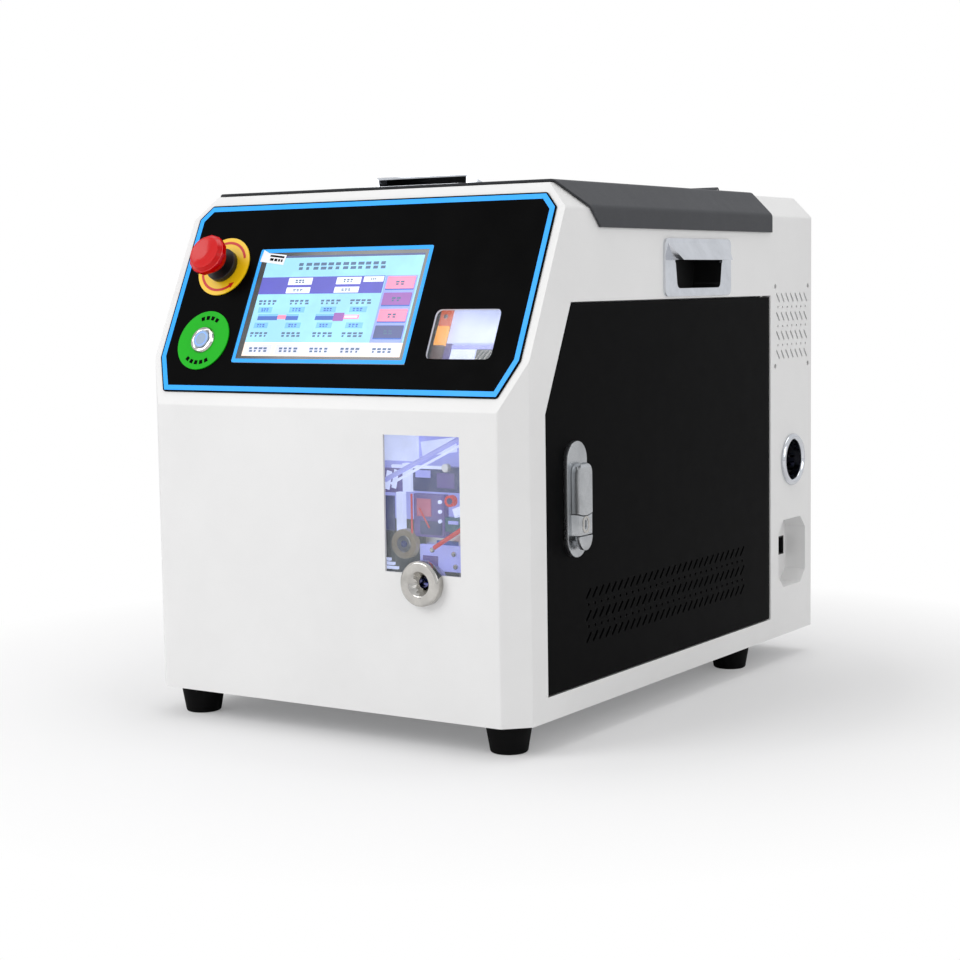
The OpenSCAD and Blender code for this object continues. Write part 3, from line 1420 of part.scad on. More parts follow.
// Shelf that carries the feeder: a bent sheet with two legs
shelf_head = 195;
shelf_z = body_h - shelf_head;
shelf_w = bowl_d;
shelf_gap = 6;
shelf_rear = 84;
shelf_y0 = y_front + table_y1 + shelf_gap;
shelf_len = y_rear - shelf_rear - shelf_y0;
shelf_foot = 14;
tube_d = 12;
tube_bore_d = 8;
bowl_gap = 1;
bowl_px = wire_px - bowl_d / 2 - tube_d / 2 - bowl_gap;
bowl_py = shelf_y0 + shelf_len / 2;
module feeder_shelf() {
  h = shelf_z - 2 * sheet_t;
  color("silver") translate([bowl_px - shelf_w / 2, shelf_y0, z_pan]) difference() {
    cube([shelf_w, shelf_len, h]);
    translate([sheet_t, -cut, sheet_t]) cube([shelf_w - 2 * sheet_t, shelf_len + 2 * cut, h - 2 * sheet_t]);
    translate([sheet_t + shelf_foot, -cut, -cut])
      cube([shelf_w - 2 * sheet_t - 2 * shelf_foot, shelf_len + 2 * cut, 2 * sheet_t]);
    for (s = [0, 1]) translate([s * shelf_w, shelf_len / 2, h / 2]) rotate([0, 90, 0])
      up(-shelf_foot) cylinder(d = shelf_len / 2, h = 2 * shelf_foot);
  }
}

// Vibrating drive under the bowl: foot, body and top plate
drive_h = 70;
drive_side = 17;
drive_d = bowl_d - 2 * drive_side;
drive_plate_h = 8;
bowl_z = shelf_z + drive_h + air;
module feeder_drive() {
  r = drive_d / 2;
  color("dimgray") translate([bowl_px, bowl_py, z_low + shelf_z]) rotate_extrude() polygon([
    [0, 0], [r, 0], [r, drive_plate_h], [r - drive_plate_h, 2 * drive_plate_h],
    [r - drive_plate_h, drive_h - 2 * drive_plate_h], [r, drive_h - drive_plate_h], [r, drive_h], [0, drive_h]]);
}

// Bowl: dished floor and a spiral ledge that climbs its wall to the outlet
ledge_t = 2;
ledge_turns = 2;
ledge_steps = 24;
outlet_w = 12;
outlet_h = 14;
bowl_floor = 4;
bowl_cone = 10;
module feeder_bowl() {
  r = bowl_d / 2;
  color("silver") translate([bowl_px, bowl_py, z_low + bowl_z]) {
    difference() {
      rotate_extrude() polygon([[0, 0], [r * 0.7, 0], [r, bowl_floor * 2], [r, bowl_h], [r - bowl_t, bowl_h],
        [r - bowl_t, bowl_floor * 2 + bowl_t], [r * 0.6, bowl_floor], [0, bowl_floor + bowl_cone]]);
      translate([0, -outlet_w, bowl_h - outlet_h]) cube([r + cut, outlet_w, outlet_h + cut]);
    }
    ledge(r - bowl_t / 2, r - bowl_t - ledge_w);
  }
}
// Helical ledge from the bowl's floor to the outlet, as one swept strip
module ledge(ro, ri) {
  n = ledge_turns * ledge_steps;
  rise = ledge_turns * ledge_pitch;
  z0 = bowl_h - outlet_h - rise - ledge_t;
  ring = [for (i = [0:n]) let (a = -360 * ledge_turns * (n - i) / n, z = z0 + rise * i / n)
    each [[ri * cos(a), ri * sin(a), z], [ro * cos(a), ro * sin(a), z],
      [ro * cos(a), ro * sin(a), z + ledge_t], [ri * cos(a), ri * sin(a), z + ledge_t]]];
  sides = [for (i = [0:n - 1], k = [0:3]) let (a = 4 * i + k, b = 4 * i + (k + 1) % 4)
    each [[a, b + 4, a + 4], [a, b, b + 4]]];
  polyhedron(ring, concat([[0, 2, 1], [0, 3, 2]], sides, [[4 * n, 4 * n + 1, 4 * n + 2], [4 * n, 4 * n + 2, 4 * n + 3]]));
}

// Guide tube from the bowl's outlet over a bend down to the crimp head
tube_y = 91;
tube_bend = 60;
tube_low = 14;
tube_clip_w = 20;
tube_clip_h = 8;
tube_pz = bowl_z + bowl_h - outlet_h - tube_d / 2;
trough_len = 18;
module feed_tube() {
  drop = tube_pz - tube_bend - wire_z - tube_low;
  run = bowl_py - y_front - tube_y - tube_bend;
  color([0.95, 0.75, 0.3, 0.8]) difference() {
    on_wire(tube_y) {
      tube_path(drop, run, tube_d / 2);
      translate([-tube_clip_w / 2, -tube_d / 2, cam_d / 2 + block_wall - tube_clip_h])
        cube([tube_clip_w, head_y - tube_y + tube_d / 2, tube_clip_h]);
    }
    on_wire(tube_y) tube_path(drop, run, tube_bore_d / 2, cut);
    on_wire(tube_y) translate([-tube_d, tube_bend + run - trough_len, tube_low + drop + tube_bend])
      cube([2 * tube_d, trough_len + cut, tube_d]);
  }
}
module tube_path(drop, run, r, over = 0) {
  up(tube_low - over) cylinder(r = r, h = drop + over, $fn = small_fn);
  translate([0, tube_bend, tube_low + drop]) rotate([90, 0, -90]) rotate_extrude(angle = 90)
    translate([tube_bend, 0]) circle(r = r, $fn = small_fn);
  translate([0, tube_bend, tube_low + drop + tube_bend]) bar_y(2 * r, run + over, small_fn);
}

// Power supply: perforated case with a terminal ledge
psu_side = 12;
psu_gap = 7.6;
psu_rear = 60;
psu_step = 16;
psu_rows = 6;
psu_cols = 4;
psu = [x_in - psu_side + bowl_px - shelf_w / 2 - psu_gap, 160, 50];
module power_supply() {
  pitch = (psu[0] - 2 * psu_step) / (psu_cols - 1);
  color("silver") translate([-x_in + psu_side, y_rear - psu_rear - psu[1], z_pan]) difference() {
    cube(psu);
    translate([-cut, -cut, psu_step]) cube([psu[0] + 2 * cut, psu_step + cut, psu[2]]);
    for (i = [0:psu_rows - 1], j = [0:psu_cols - 1])
      translate([psu_step + j * pitch, (2.5 + i) * psu_step, psu[2] - sheet_t])
        cylinder(d = psu_step / 2, h = sheet_t + cut, $fn = 8);
  }
}

// Controller: upright case with ribs and a row of terminals
plc_side = 12;
plc_front = 120;
plc_gap = 30;
plc_rib = 6;
plc = [60, body_d - psu_rear - psu[1] - plc_front - plc_gap, 140];
module controller() {
  ribs = floor(plc[1] / (2 * plc_rib)) - 2;
  color("dimgray") translate([-x_in + plc_side, y_front + plc_front, z_pan]) difference() {
    cube(plc);
    for (i = [1:ribs]) translate([plc[0] - plc_rib, 2 * plc_rib * i, 3 * plc_rib])
      cube([plc_rib + cut, plc_rib, plc[2] - 6 * plc_rib]);
    translate([plc[0] - 2 * plc_rib, -cut, plc[2] - 2 * plc_rib])
      cube([2 * plc_rib + cut, plc[1] + 2 * cut, 2 * plc_rib + cut]);
  }
}

// Scrap tray under the table
tray = [96, 150, 26];
tray_y = 54;
tray_wall = 1.5;
module scrap_tray() {
  color("steelblue") on_wire() translate([-tray[0] + rod_x, tray_y, z_pan - wire_pz]) difference() {
    cube(tray);
    translate([tray_wall, tray_wall, tray_wall]) cube([tray[0] - 2 * tray_wall, tray[1] - 2 * tray_wall, tray[2]]);
  }
}

// Every piece by its name
housing();
top_sheet();
side_sheets();
housing_frame();
base_pan();
rear_panel();
rubber_feet();
fasteners();
clear_windows();
wire_funnel();
panel_overlay();
screen_module();
screen_glass();
button_discs();
stop_body();
stop_plunger();
stop_head();
power_body();
power_cap();
side_grips();
round_port();
recess_box();
power_socket();
fan_frame();
fan_rotor();
side_door();
hinge_pins();
hinge_leaves();
lid_leaves();
lid();
lid_grip();
lock_base();
lock_rotor();
lock_lever();
lock_button();
mech_table();
clamp_frame();
clamp_upper();
clamp_lower();
strip_carriage();
blade_upper();
blade_lower();
guide_rods();
feed_screw();
step_motor();
crimp_block();
cam_ring();
crimp_die_1();
crimp_die_2();
crimp_die_3();
crimp_die_4();
servo_motor();
servo_pinion();
feeder_shelf();
feeder_drive();
feeder_bowl();
feed_tube();
power_supply();
controller();
scrap_tray();
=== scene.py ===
"""Looks of a bench-top crimping machine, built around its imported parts.

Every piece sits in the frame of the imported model: metres, +Z up, front towards -Y.
"""

import json
import logging
import math
import random
from dataclasses import dataclass, field
from enum import Enum
from typing import Callable, Iterable, Sequence

import bmesh
import bpy
from mathutils import Matrix, Vector

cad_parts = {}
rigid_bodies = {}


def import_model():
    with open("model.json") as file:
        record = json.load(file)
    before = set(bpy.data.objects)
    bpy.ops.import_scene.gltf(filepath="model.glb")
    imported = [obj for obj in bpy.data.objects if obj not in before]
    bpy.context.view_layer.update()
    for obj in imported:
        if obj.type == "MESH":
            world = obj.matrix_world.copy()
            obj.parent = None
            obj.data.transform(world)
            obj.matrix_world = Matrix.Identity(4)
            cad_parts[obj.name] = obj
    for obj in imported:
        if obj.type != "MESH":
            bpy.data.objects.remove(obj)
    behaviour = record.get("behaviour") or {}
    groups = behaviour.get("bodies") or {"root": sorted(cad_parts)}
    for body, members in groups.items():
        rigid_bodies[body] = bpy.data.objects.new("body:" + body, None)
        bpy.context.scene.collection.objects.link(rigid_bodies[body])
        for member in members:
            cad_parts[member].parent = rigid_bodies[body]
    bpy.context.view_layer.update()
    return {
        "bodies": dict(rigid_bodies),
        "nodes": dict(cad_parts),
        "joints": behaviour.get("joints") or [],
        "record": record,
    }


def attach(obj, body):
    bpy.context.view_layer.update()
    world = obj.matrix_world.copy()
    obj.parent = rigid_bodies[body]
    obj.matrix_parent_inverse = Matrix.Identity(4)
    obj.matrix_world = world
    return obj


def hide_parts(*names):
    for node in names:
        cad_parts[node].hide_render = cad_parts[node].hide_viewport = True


LOG = logging.getLogger("crimping_machine")
MM = 0.001
Colour = tuple[float, float, float]
Point = tuple[float, float]


def shade(colour: Colour) -> tuple[float, float, float, float]:
    """Turns a display colour of 0 to 1 into the linear colour that a shader takes.

    Args:
        colour: The colour as it shows on a screen.

    Returns:
        The linear colour, fully opaque.
    """
    linear = [c / 12.92 if c <= 0.04045 else ((c + 0.055) / 1.055) ** 2.4 for c in colour]
    return (linear[0], linear[1], linear[2], 1.0)


class Value:
    """A number inside a shader: the output of a node, with the usual operators."""

    def __init__(self, maker: "Shader", socket: bpy.types.NodeSocket) -> None:
        """Wraps one output socket of a shader's node."""
        self.maker = maker
        self.socket = socket

    def _with(self, operation: str, first: "Value | float", second: "Value | float") -> "Value":
        """Adds one Math node and returns its result."""
        return self.maker.node("ShaderNodeMath", {"operation": operation}, {0: first, 1: second})

    def __add__(self, other: "Value | float") -> "Value":
        """Sum of two numbers."""
        return self._with("ADD", self, other)

    __radd__ = __add__

    def __sub__(self, other: "Value | float") -> "Value":
        """Difference of two numbers."""
        return self._with("SUBTRACT", self, other)

    def __rsub__(self, other: float) -> "Value":
        """Difference with a plain number first."""
        return self._with("SUBTRACT", other, self)

    def __mul__(self, other: "Value | float") -> "Value":
        """Product of two numbers."""
        return self._with("MULTIPLY", self, other)

    __rmul__ = __mul__


class Shader:
    """One material under construction, with a Principled surface."""

    def __init__(self, name: str) -> None:
        """Makes an empty material with its surface and output nodes.

        Args:
            name: The material's name.
        """
        self.material = bpy.data.materials.new(name)
        self.material.use_nodes = True
        self.tree = self.material.node_tree
        self.tree.nodes.clear()
        self.surface = self.tree.nodes.new("ShaderNodeBsdfPrincipled")
        output = self.tree.nodes.new("ShaderNodeOutputMaterial")
        self.tree.links.new(self.surface.outputs[0], output.inputs["Surface"])

    def node(self, kind: str, settings: dict, inputs: dict, output: int | str = 0) -> Value:
        """Adds a node.

        Args:
            kind: The node's type.
            settings: Its own settings, set before its sockets.
            inputs: Values or links by socket name or number.
            output: Which output is returned.

        Returns:
            The chosen output.
        """
        made = self.tree.nodes.new(kind)
        for key, value in settings.items():
            setattr(made, key, value)
        for key, value in inputs.items():
            self.put(made.inputs[key], value)
        return Value(self, made.outputs[output])

    def put(self, socket: bpy.types.NodeSocket, value: "Value | float | Sequence[float]") -> None:
        """Links a value to a socket, or sets a plain number or colour on it.

        Args:
            socket: The input that takes it.
            value: A node's output, a number or a colour.
        """
        if isinstance(value, Value):
            self.tree.links.new(value.socket, socket)
        else:
            socket.default_value = value

    def set(self, **sockets: "Value | float | Sequence[float]") -> "Shader":
        """Sets sockets of the surface, named with underscores for blanks.

        Args:
            sockets: Values or links by socket name.

        Returns:
            This shader, so that calls can follow.
        """
        for key, value in sockets.items():
            self.put(self.surface.inputs[key.replace("_", " ")], value)
        return self

    def place(self, scale: Sequence[float] = (1, 1, 1), turn: Sequence[float] = (0, 0, 0)) -> Value:
        """Object coordinates, scaled and turned."""
        coords = self.node("ShaderNodeTexCoord", {}, {}, "Object")
        return self.node("ShaderNodeMapping", {}, {"Vector": coords, "Scale": scale, "Rotation": turn})

    def noise(self, scale: float, detail: float = 2.0, rough: float = 0.5,
              place: Value | None = None) -> Value:
        """Noise of a given scale per metre.

        Args:
            scale: Its scale.
            detail: Its octaves.
            rough: Weight of the finer octaves.
            place: Coordinates, if not the object's own.

        Returns:
            The noise, from 0 to 1.
        """
        return self.node(
            "ShaderNodeTexNoise",
            {},
            {"Vector": place or self.place(), "Scale": scale, "Detail": detail, "Roughness": rough},
        )

    def span(self, value: Value, low: float, high: float, to_low: float, to_high: float) -> Value:
        """Maps a number from one range to another, held at its ends.

        Args:
            value: The number.
            low: Start of its range.
            high: End of its range.
            to_low: What the start becomes.
            to_high: What the end becomes.

        Returns:
            The mapped number.
        """
        return self.node(
            "ShaderNodeMapRange",
            {},
            {"Value": value, "From Min": low, "From Max": high, "To Min": to_low, "To Max": to_high},
        )

    def blend(
        self, factor: Value | float, first: "Value | Sequence[float]", second: "Value | Sequence[float]"
    ) -> Value:
        """Mix of two colours."""
        return self.node("ShaderNodeMix", {"data_type": "RGBA"}, {0: factor, 6: first, 7: second}, 2)

    def bump(self, height: Value, strength: float, distance: float) -> Value:
        """Surface relief from a height.

        Args:
            height: The height.
            strength: Share of the relief that shows.
            distance: Its depth, in metres.

        Returns:
            The bent normal.
        """
        return self.node(
            "ShaderNodeBump", {}, {"Height": height, "Strength": strength, "Distance": distance}
        )


class Grain(Enum):
    """Direction in which a metal is brushed or drawn."""

    NONE = (1.0, 1.0, 1.0)
    ALONG_X = (0.03, 1.0, 1.0)
    ALONG_Y = (1.0, 0.03, 1.0)
    ALONG_Z = (1.0, 1.0, 0.03)


@dataclass(frozen=True)
class PowderCoat:
    """Baked powder paint with a fine orange-peel relief."""

    colour: Colour
    roughness: float = 0.42
    peel_mm: float = 1.1
    relief: float = 0.35
    depth_mm: float = 0.08
    mottle: float = 0.03
    shine: float = 0.45

    def material(self, name: str) -> bpy.types.Material:
        """Makes the paint.

        Args:
            name: The material's name.

        Returns:
            The material.
        """
        shader = Shader(name)
        peel = shader.noise(1000 / self.peel_mm, 3.0, 0.55)
        cloud = shader.noise(9.0, 4.0, 0.6)
        grime = shader.noise(60.0, 5.0, 0.7)
        dark = tuple(c * (1 - 2.5 * self.mottle) for c in self.colour)
        tint = shader.blend(shader.span(cloud, 0.35, 0.7, 0, 1), shade(self.colour), shade(dark))
        shader.set(
            Base_Color=tint,
            Roughness=shader.span(
                peel * 0.6 + grime * 0.4, 0.3, 0.7, self.roughness - 0.05, self.roughness + 0.07),
            Normal=shader.bump(peel, self.relief, self.depth_mm * MM),
            Specular_IOR_Level=self.shine,
        )
        return shader.material


@dataclass(frozen=True)
class Metal:
    """Bare or plated metal, brushed, grained or polished."""

    colour: Colour
    roughness: float = 0.3
    grain: Grain = Grain.NONE
    grain_mm: float = 0.6
    relief: float = 0.12
    stain: float = 0.12

    def material(self, name: str) -> bpy.types.Material:
        """Makes the metal.

        Args:
            name: The material's name.

        Returns:
            The material.
        """
        shader = Shader(name)
        lines = shader.noise(1000 / self.grain_mm, 3.0, 0.6, shader.place(self.grain.value))
        cloud = shader.noise(45.0, 5.0, 0.65)
        dull = tuple(c * (1 - self.stain) for c in self.colour)
        shader.set(
            Metallic=1.0,
            Base_Color=shader.blend(shader.span(cloud, 0.4, 0.65, 0, 1), shade(self.colour), shade(dull)),
            Roughness=shader.span(
                lines * 0.5 + cloud * 0.5, 0.3, 0.7, self.roughness * 0.8, self.roughness * 1.3),
            Normal=shader.bump(lines, self.relief, 0.03 * MM),
        )
        return shader.material


@dataclass(frozen=True)
class Plastic:
    """Moulded plastic or rubber with a fine texture."""

    colour: Colour
    roughness: float = 0.45
    texture_mm: float = 0.5
    relief: float = 0.1
    coat: float = 0.0
    dust: float = 0.04
    # glow: emission on a part that is no lamp, painted light.
    glow: float = 0.0
    shine: float = 0.5

    def material(self, name: str) -> bpy.types.Material:
        """Makes the plastic.

        Args:
            name: The material's name.

        Returns:
            The material.
        """
        shader = Shader(name)
        grain = shader.noise(1000 / self.texture_mm, 2.0)
        cloud = shader.noise(30.0, 4.0, 0.6)
        pale = tuple(c + (0.55 - c) * self.dust for c in self.colour)
        tint = shader.blend(shader.span(cloud, 0.45, 0.75, 0, 1), shade(self.colour), shade(pale))
        shader.set(
            Base_Color=tint,
            Roughness=shader.span(cloud, 0.35, 0.7, self.roughness - 0.04, self.roughness + 0.06),
            Normal=shader.bump(grain, self.relief, 0.05 * MM),
            Coat_Weight=self.coat,
            Coat_Roughness=0.08,
            Specular_IOR_Level=self.shine,
        )
        # The glow paints light onto the plastic; the part is no lamp.
        if self.glow:
            shader.set(Emission_Color=tint, Emission_Strength=self.glow)
        return shader.material


@dataclass(frozen=True)
class Clear:
    """Clear sheet or hose with faint wipe marks."""

    colour: Colour
    alpha: float = 0.12
    roughness: float = 0.05

    def material(self, name: str) -> bpy.types.Material:
        """Makes the clear material.

        Args:
            name: The material's name.

        Returns:
            The material.
        """
        shader = Shader(name)
        haze = shader.noise(55.0, 5.0, 0.7)
        shader.set(
            Base_Color=shade(self.colour),
            Roughness=shader.span(haze, 0.4, 0.7, self.roughness, self.roughness + 0.08),
            Alpha=shader.span(haze, 0.4, 0.75, self.alpha, self.alpha + 0.05),
            Specular_IOR_Level=0.6,
        )
        return shader.material


@dataclass(frozen=True)
class Lit:
    """A lit surface: display pixels, lamps and symbols, and also the parts seen through the windows, which
    glow as painted light though they are no lamps.
    """

    colour: Colour
    strength: float = 0.8
    roughness: float = 0.25
    streak: float = 0.05

    def material(self, name: str) -> bpy.types.Material:
        """Makes the lit surface.

        Args:
            name: The material's name.

        Returns:
            The material.
        """
        shader = Shader(name)
        cloud = shader.noise(40.0, 3.0)
        dim = tuple(c * (1 - self.streak) for c in self.colour)
        tint = shader.blend(shader.span(cloud, 0.4, 0.6, 0, 1), shade(self.colour), shade(dim))
        dark = shader.blend(0.5, tint, shade((0, 0, 0)))
        shader.set(
            Base_Color=dark,
            Emission_Color=tint,
            Emission_Strength=self.strength,
            Roughness=self.roughness,
        )
        return shader.material


class Frame:
    """A flat working frame: X and Y along a face, Z out of it."""

    def __init__(self, origin: Sequence[float], along: Sequence[float], out: Sequence[float]) -> None:
        """Sets the frame up from its origin, its X direction and its normal.

        Args:
            origin: Its origin, in metres.
            along: Its X direction.
            out: Its normal, at right angles to X.
        """
        x = Vector(along).normalized()
        z = Vector(out).normalized()
        y = z.cross(x)
        self.matrix = Matrix.Translation(Vector(origin)) @ Matrix((x, y, z)).transposed().to_4x4()

    def at(self, x: float, y: float, z: float = 0.0) -> Vector:
        """Point of the frame, in metres."""
        return self.matrix @ Vector((x, y, z))


def finish_mesh(
    name: str, shape: bmesh.types.BMesh, paint: bpy.types.Material, smooth: float = 0.0
) -> bpy.types.Object:
    """Turns a bmesh into an object of the scene.

    Args:
        name: The object's name.
        shape: The mesh, in metres in the part's frame. It is freed.
        paint: Its material.
        smooth: Angle in degrees under which edges are smooth, 0 for flat faces.

    Returns:
        The object.
    """
    bmesh.ops.recalc_face_normals(shape, faces=shape.faces)
    mesh = bpy.data.meshes.new(name)
    shape.to_mesh(mesh)
    shape.free()
    mesh.materials.append(paint)
    thing = bpy.data.objects.new(name, mesh)
    bpy.context.scene.collection.objects.link(thing)
    if smooth:
        mesh.shade_smooth()
        mesh.set_sharp_from_angle(angle=math.radians(smooth))
    return thing


def outline_box(width: float, height: float, radius: float = 0.0, steps: int = 4) -> list[Point]:
    """Outline of a rectangle with round corners about its middle.

    Args:
        width: Its width.
        height: Its height.
        radius: Radius of its corners.
        steps: Segments of each corner.

    Returns:
        Its points, anticlockwise.
    """
    points: list[Point] = []
    for corner, (sx, sy) in enumerate(((1, 1), (-1, 1), (-1, -1), (1, -1))):
        cx, cy = sx * (width / 2 - radius), sy * (height / 2 - radius)
        if radius <= 0:
            points.append((cx, cy))
            continue
        for i in range(steps + 1):
            angle = math.radians(90 * corner + 90 * i / steps)
            points.append((cx + radius * math.cos(angle), cy + radius * math.sin(angle)))
    return points


def circle(radius: float, steps: int = 48, start: float = 0.0, turn: float = 360.0) -> list[Point]:
    """Points of a circle, or of an arc when turn is under 360 degrees.

    Args:
        radius: Its radius.
        steps: Segments in all.
        start: Angle of the first point, in degrees.
        turn: How far it goes round, in degrees.

    Returns:
        Its points, anticlockwise.
    """
    count = steps if turn >= 360 else steps + 1
    angles = [math.radians(start + turn * i / steps) for i in range(count)]
    return [(radius * math.cos(a), radius * math.sin(a)) for a in angles]


def moved(points: Iterable[Point], x: float, y: float, turn: float = 0.0) -> list[Point]:
    """Points turned by an angle in degrees and moved."""
    c, s = math.cos(math.radians(turn)), math.sin(math.radians(turn))
    return [(x + px * c - py * s, y + px * s + py * c) for px, py in points]


def add_prism(shape: bmesh.types.BMesh, frame: Frame, points: Sequence[Point], low: float, high: float,
              bevel: float = 0.0) -> None:
    """Adds a straight prism with an optional chamfer round its top.

    Args:
        shape: The mesh that it joins.
        frame: The frame that it stands in.
        points: Its outline, anticlockwise.
        low: Height of its bottom.
        high: Height of its top.
        bevel: Size of the chamfer.
    """
    rings = [[shape.verts.new(frame.at(x, y, low)) for x, y in points]]
    if bevel:
        rings.append([shape.verts.new(frame.at(x, y, high - bevel)) for x, y in points])
        points = shrunk(points, bevel)
    rings.append([shape.verts.new(frame.at(x, y, high)) for x, y in points])
    count = len(points)
    for below, above in zip(rings, rings[1:]):
        for i in range(count):
            shape.faces.new((below[i], below[(i + 1) % count], above[(i + 1) % count], above[i]))
    shape.faces.new(rings[0][::-1])
    shape.faces.new(rings[-1])


# How little of a sharp corner's bisector counts, so that its point stays near
MITRE_LIMIT = 0.3


def shrunk(points: Sequence[Point], by: float) -> list[Point]:
    """Moves each side of a closed anticlockwise outline inwards.

    Args:
        points: The outline.
        by: How far each side moves.

    Returns:
        The smaller outline, with as many points.
    """
    result: list[Point] = []
    count = len(points)
    for i, here in enumerate(points):
        a = Vector(here) - Vector(points[i - 1])
        b = Vector(points[(i + 1) % count]) - Vector(here)
        a.normalize()
        b.normalize()
        na, nb = Vector((-a.y, a.x)), Vector((-b.y, b.x))
        middle = na + nb
        if middle.length < 1e-6:
            result.append(here)
            continue
        middle.normalize()
        step = middle * (by / max(MITRE_LIMIT, middle.dot(na)))
        result.append((here[0] + step.x, here[1] + step.y))
    return result


def add_ring(shape: bmesh.types.BMesh, frame: Frame, outer: Sequence[Point], inner: Sequence[Point],
             low: float, high: float) -> None:
    """Adds a flat ring between two outlines with the same number of points.

    Args:
        shape: The mesh that it joins.
        frame: The frame that it lies in.
        outer: Its outer outline.
        inner: Its inner outline.
        low: Height of its bottom.
        high: Height of its top.
    """
    count = len(outer)
    loops = [
        [shape.verts.new(frame.at(x, y, z)) for x, y in points]
        for points, z in ((outer, low), (outer, high), (inner, high), (inner, low))
    ]
    for first, second in zip(loops, loops[1:] + loops[:1]):
        for i in range(count):
            shape.faces.new((first[i], first[(i + 1) % count], second[(i + 1) % count], second[i]))


# Area in square metres from which a face stays flat
LARGE_FACE = (15 * MM) ** 2


def softened_copy(node: bpy.types.Object, name: str, width_mm: float, paint: bpy.types.Material,
                  angle: float = 32.0, segments: int = 2) -> bpy.types.Object:
    """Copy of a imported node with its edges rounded.

    Args:
        node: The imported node.
        name: The copy's name.
        width_mm: Width of the rounding.
        paint: Its material.
        angle: Edges sharper than this are rounded.
        segments: Segments of the rounding.

    Returns:
        The copy, which the caller lets ride and replace the node.
    """
    shape = bmesh.new()
    shape.from_mesh(node.data)
    bmesh.ops.remove_doubles(shape, verts=shape.verts, dist=2e-6)
    bmesh.ops.dissolve_limit(shape, angle_limit=math.radians(0.6), verts=shape.verts, edges=shape.edges,
                             use_dissolve_boundaries=False)
    mesh = bpy.data.meshes.new(name)
    shape.to_mesh(mesh)
    shape.free()
    mesh.materials.append(paint)
    for polygon in mesh.polygons:
        polygon.material_index = 0
    copy = bpy.data.objects.new(name, mesh)
    bpy.context.scene.collection.objects.link(copy)
    bevel = copy.modifiers.new("edges", "BEVEL")
    bevel.width = width_mm * MM
    bevel.segments = segments
    bevel.limit_method = "ANGLE"
    bevel.angle_limit = math.radians(angle)
    bevel.harden_normals = False
    bevel.use_clamp_overlap = True
    graph = bpy.context.evaluated_depsgraph_get()
    done = bpy.data.meshes.new_from_object(copy.evaluated_get(graph))
    copy.modifiers.clear()
    copy.data = done
    bpy.data.meshes.remove(mesh)
    done.name = name
    done.shade_smooth()
    done.set_sharp_from_angle(angle=math.radians(40))
    for polygon in done.polygons:
        polygon.use_smooth = polygon.area < LARGE_FACE
    return copy


class Repeater:
    """Geometry Nodes tree that sets one small mesh on a row, grid, ring or scattered field of places."""

    def __init__(self, name: str, paint: bpy.types.Material) -> None:
        """Starts an empty tree.

        Args:
            name: Name of the finished object.
            paint: Material that the tree sets.
        """
        self.name = name
        self.paint = paint
        self.tree = bpy.data.node_groups.new(name, "GeometryNodeTree")
        self.tree.interface.new_socket("Geometry", in_out="OUTPUT", socket_type="NodeSocketGeometry")
        self.values: dict[str, float | int] = {}
        self.inputs = self.tree.nodes.new("NodeGroupInput")
        self.outputs = self.tree.nodes.new("NodeGroupOutput")

    def size(self, label: str, value: float | int) -> bpy.types.NodeSocket:
        """Adds a named input with its value.

        Args:
            label: The input's name.
            value: A length or share as a float, a count or seed as an int.

        Returns:
            The socket inside the tree.
        """
        kind = "NodeSocketInt" if isinstance(value, int) else "NodeSocketFloat"
        item = self.tree.interface.new_socket(label, in_out="INPUT", socket_type=kind)
        self.values[item.identifier] = value
        return next(s for s in self.inputs.outputs if s.identifier == item.identifier)

    def node(self, kind: str, settings: dict, inputs: dict) -> bpy.types.Node:
        """Adds a node with its settings, and values or links on its sockets.

        Args:
            kind: The node's type.
            settings: Its own settings.
            inputs: Values or links by socket name or number.

        Returns:
            The node.
        """
        made = self.tree.nodes.new(kind)
        for key, value in settings.items():
            setattr(made, key, value)
        for key, value in inputs.items():
            if isinstance(value, bpy.types.NodeSocket):
                self.tree.links.new(value, made.inputs[key])
            else:
                made.inputs[key].default_value = value
        return made

    def finish(self, points: bpy.types.NodeSocket, unit: bpy.types.Object, frame: Frame,
               turns: bpy.types.NodeSocket | None = None) -> bpy.types.Object:
        """Sets the unit on the points and makes one plain mesh of it.

        Args:
            points: The places.
            unit: The object that repeats. It is removed afterwards.
            frame: The frame in which the tree works.
            turns: Rotation of each place, if any.

        Returns:
            The finished object, with its place in its mesh.
        """
        info = self.node("GeometryNodeObjectInfo", {"transform_space": "ORIGINAL"}, {"Object": unit})
        inputs = {"Points": points, "Instance": info.outputs["Geometry"]}
        if turns is not None:
            inputs["Rotation"] = turns
        spread = self.node("GeometryNodeInstanceOnPoints", {}, inputs)
        real = self.node("GeometryNodeRealizeInstances", {}, {"Geometry": spread.outputs[0]})
        painted = self.node(
            "GeometryNodeSetMaterial", {}, {"Geometry": real.outputs[0], "Material": self.paint})
        self.tree.links.new(painted.outputs[0], self.outputs.inputs[0])
        holder = bpy.data.objects.new(self.name, bpy.data.meshes.new(self.name))
        bpy.context.scene.collection.objects.link(holder)
        modifier = holder.modifiers.new("places", "NODES")
        modifier.node_group = self.tree
        for identifier, value in self.values.items():
            modifier[identifier] = value
        holder.update_tag()
        graph = bpy.context.evaluated_depsgraph_get()
        graph.update()
        mesh = bpy.data.meshes.new_from_object(holder.evaluated_get(graph))
        holder.modifiers.clear()
        holder.data = mesh
        mesh.transform(frame.matrix)
        mesh.update()
        bpy.data.objects.remove(unit)
        return holder


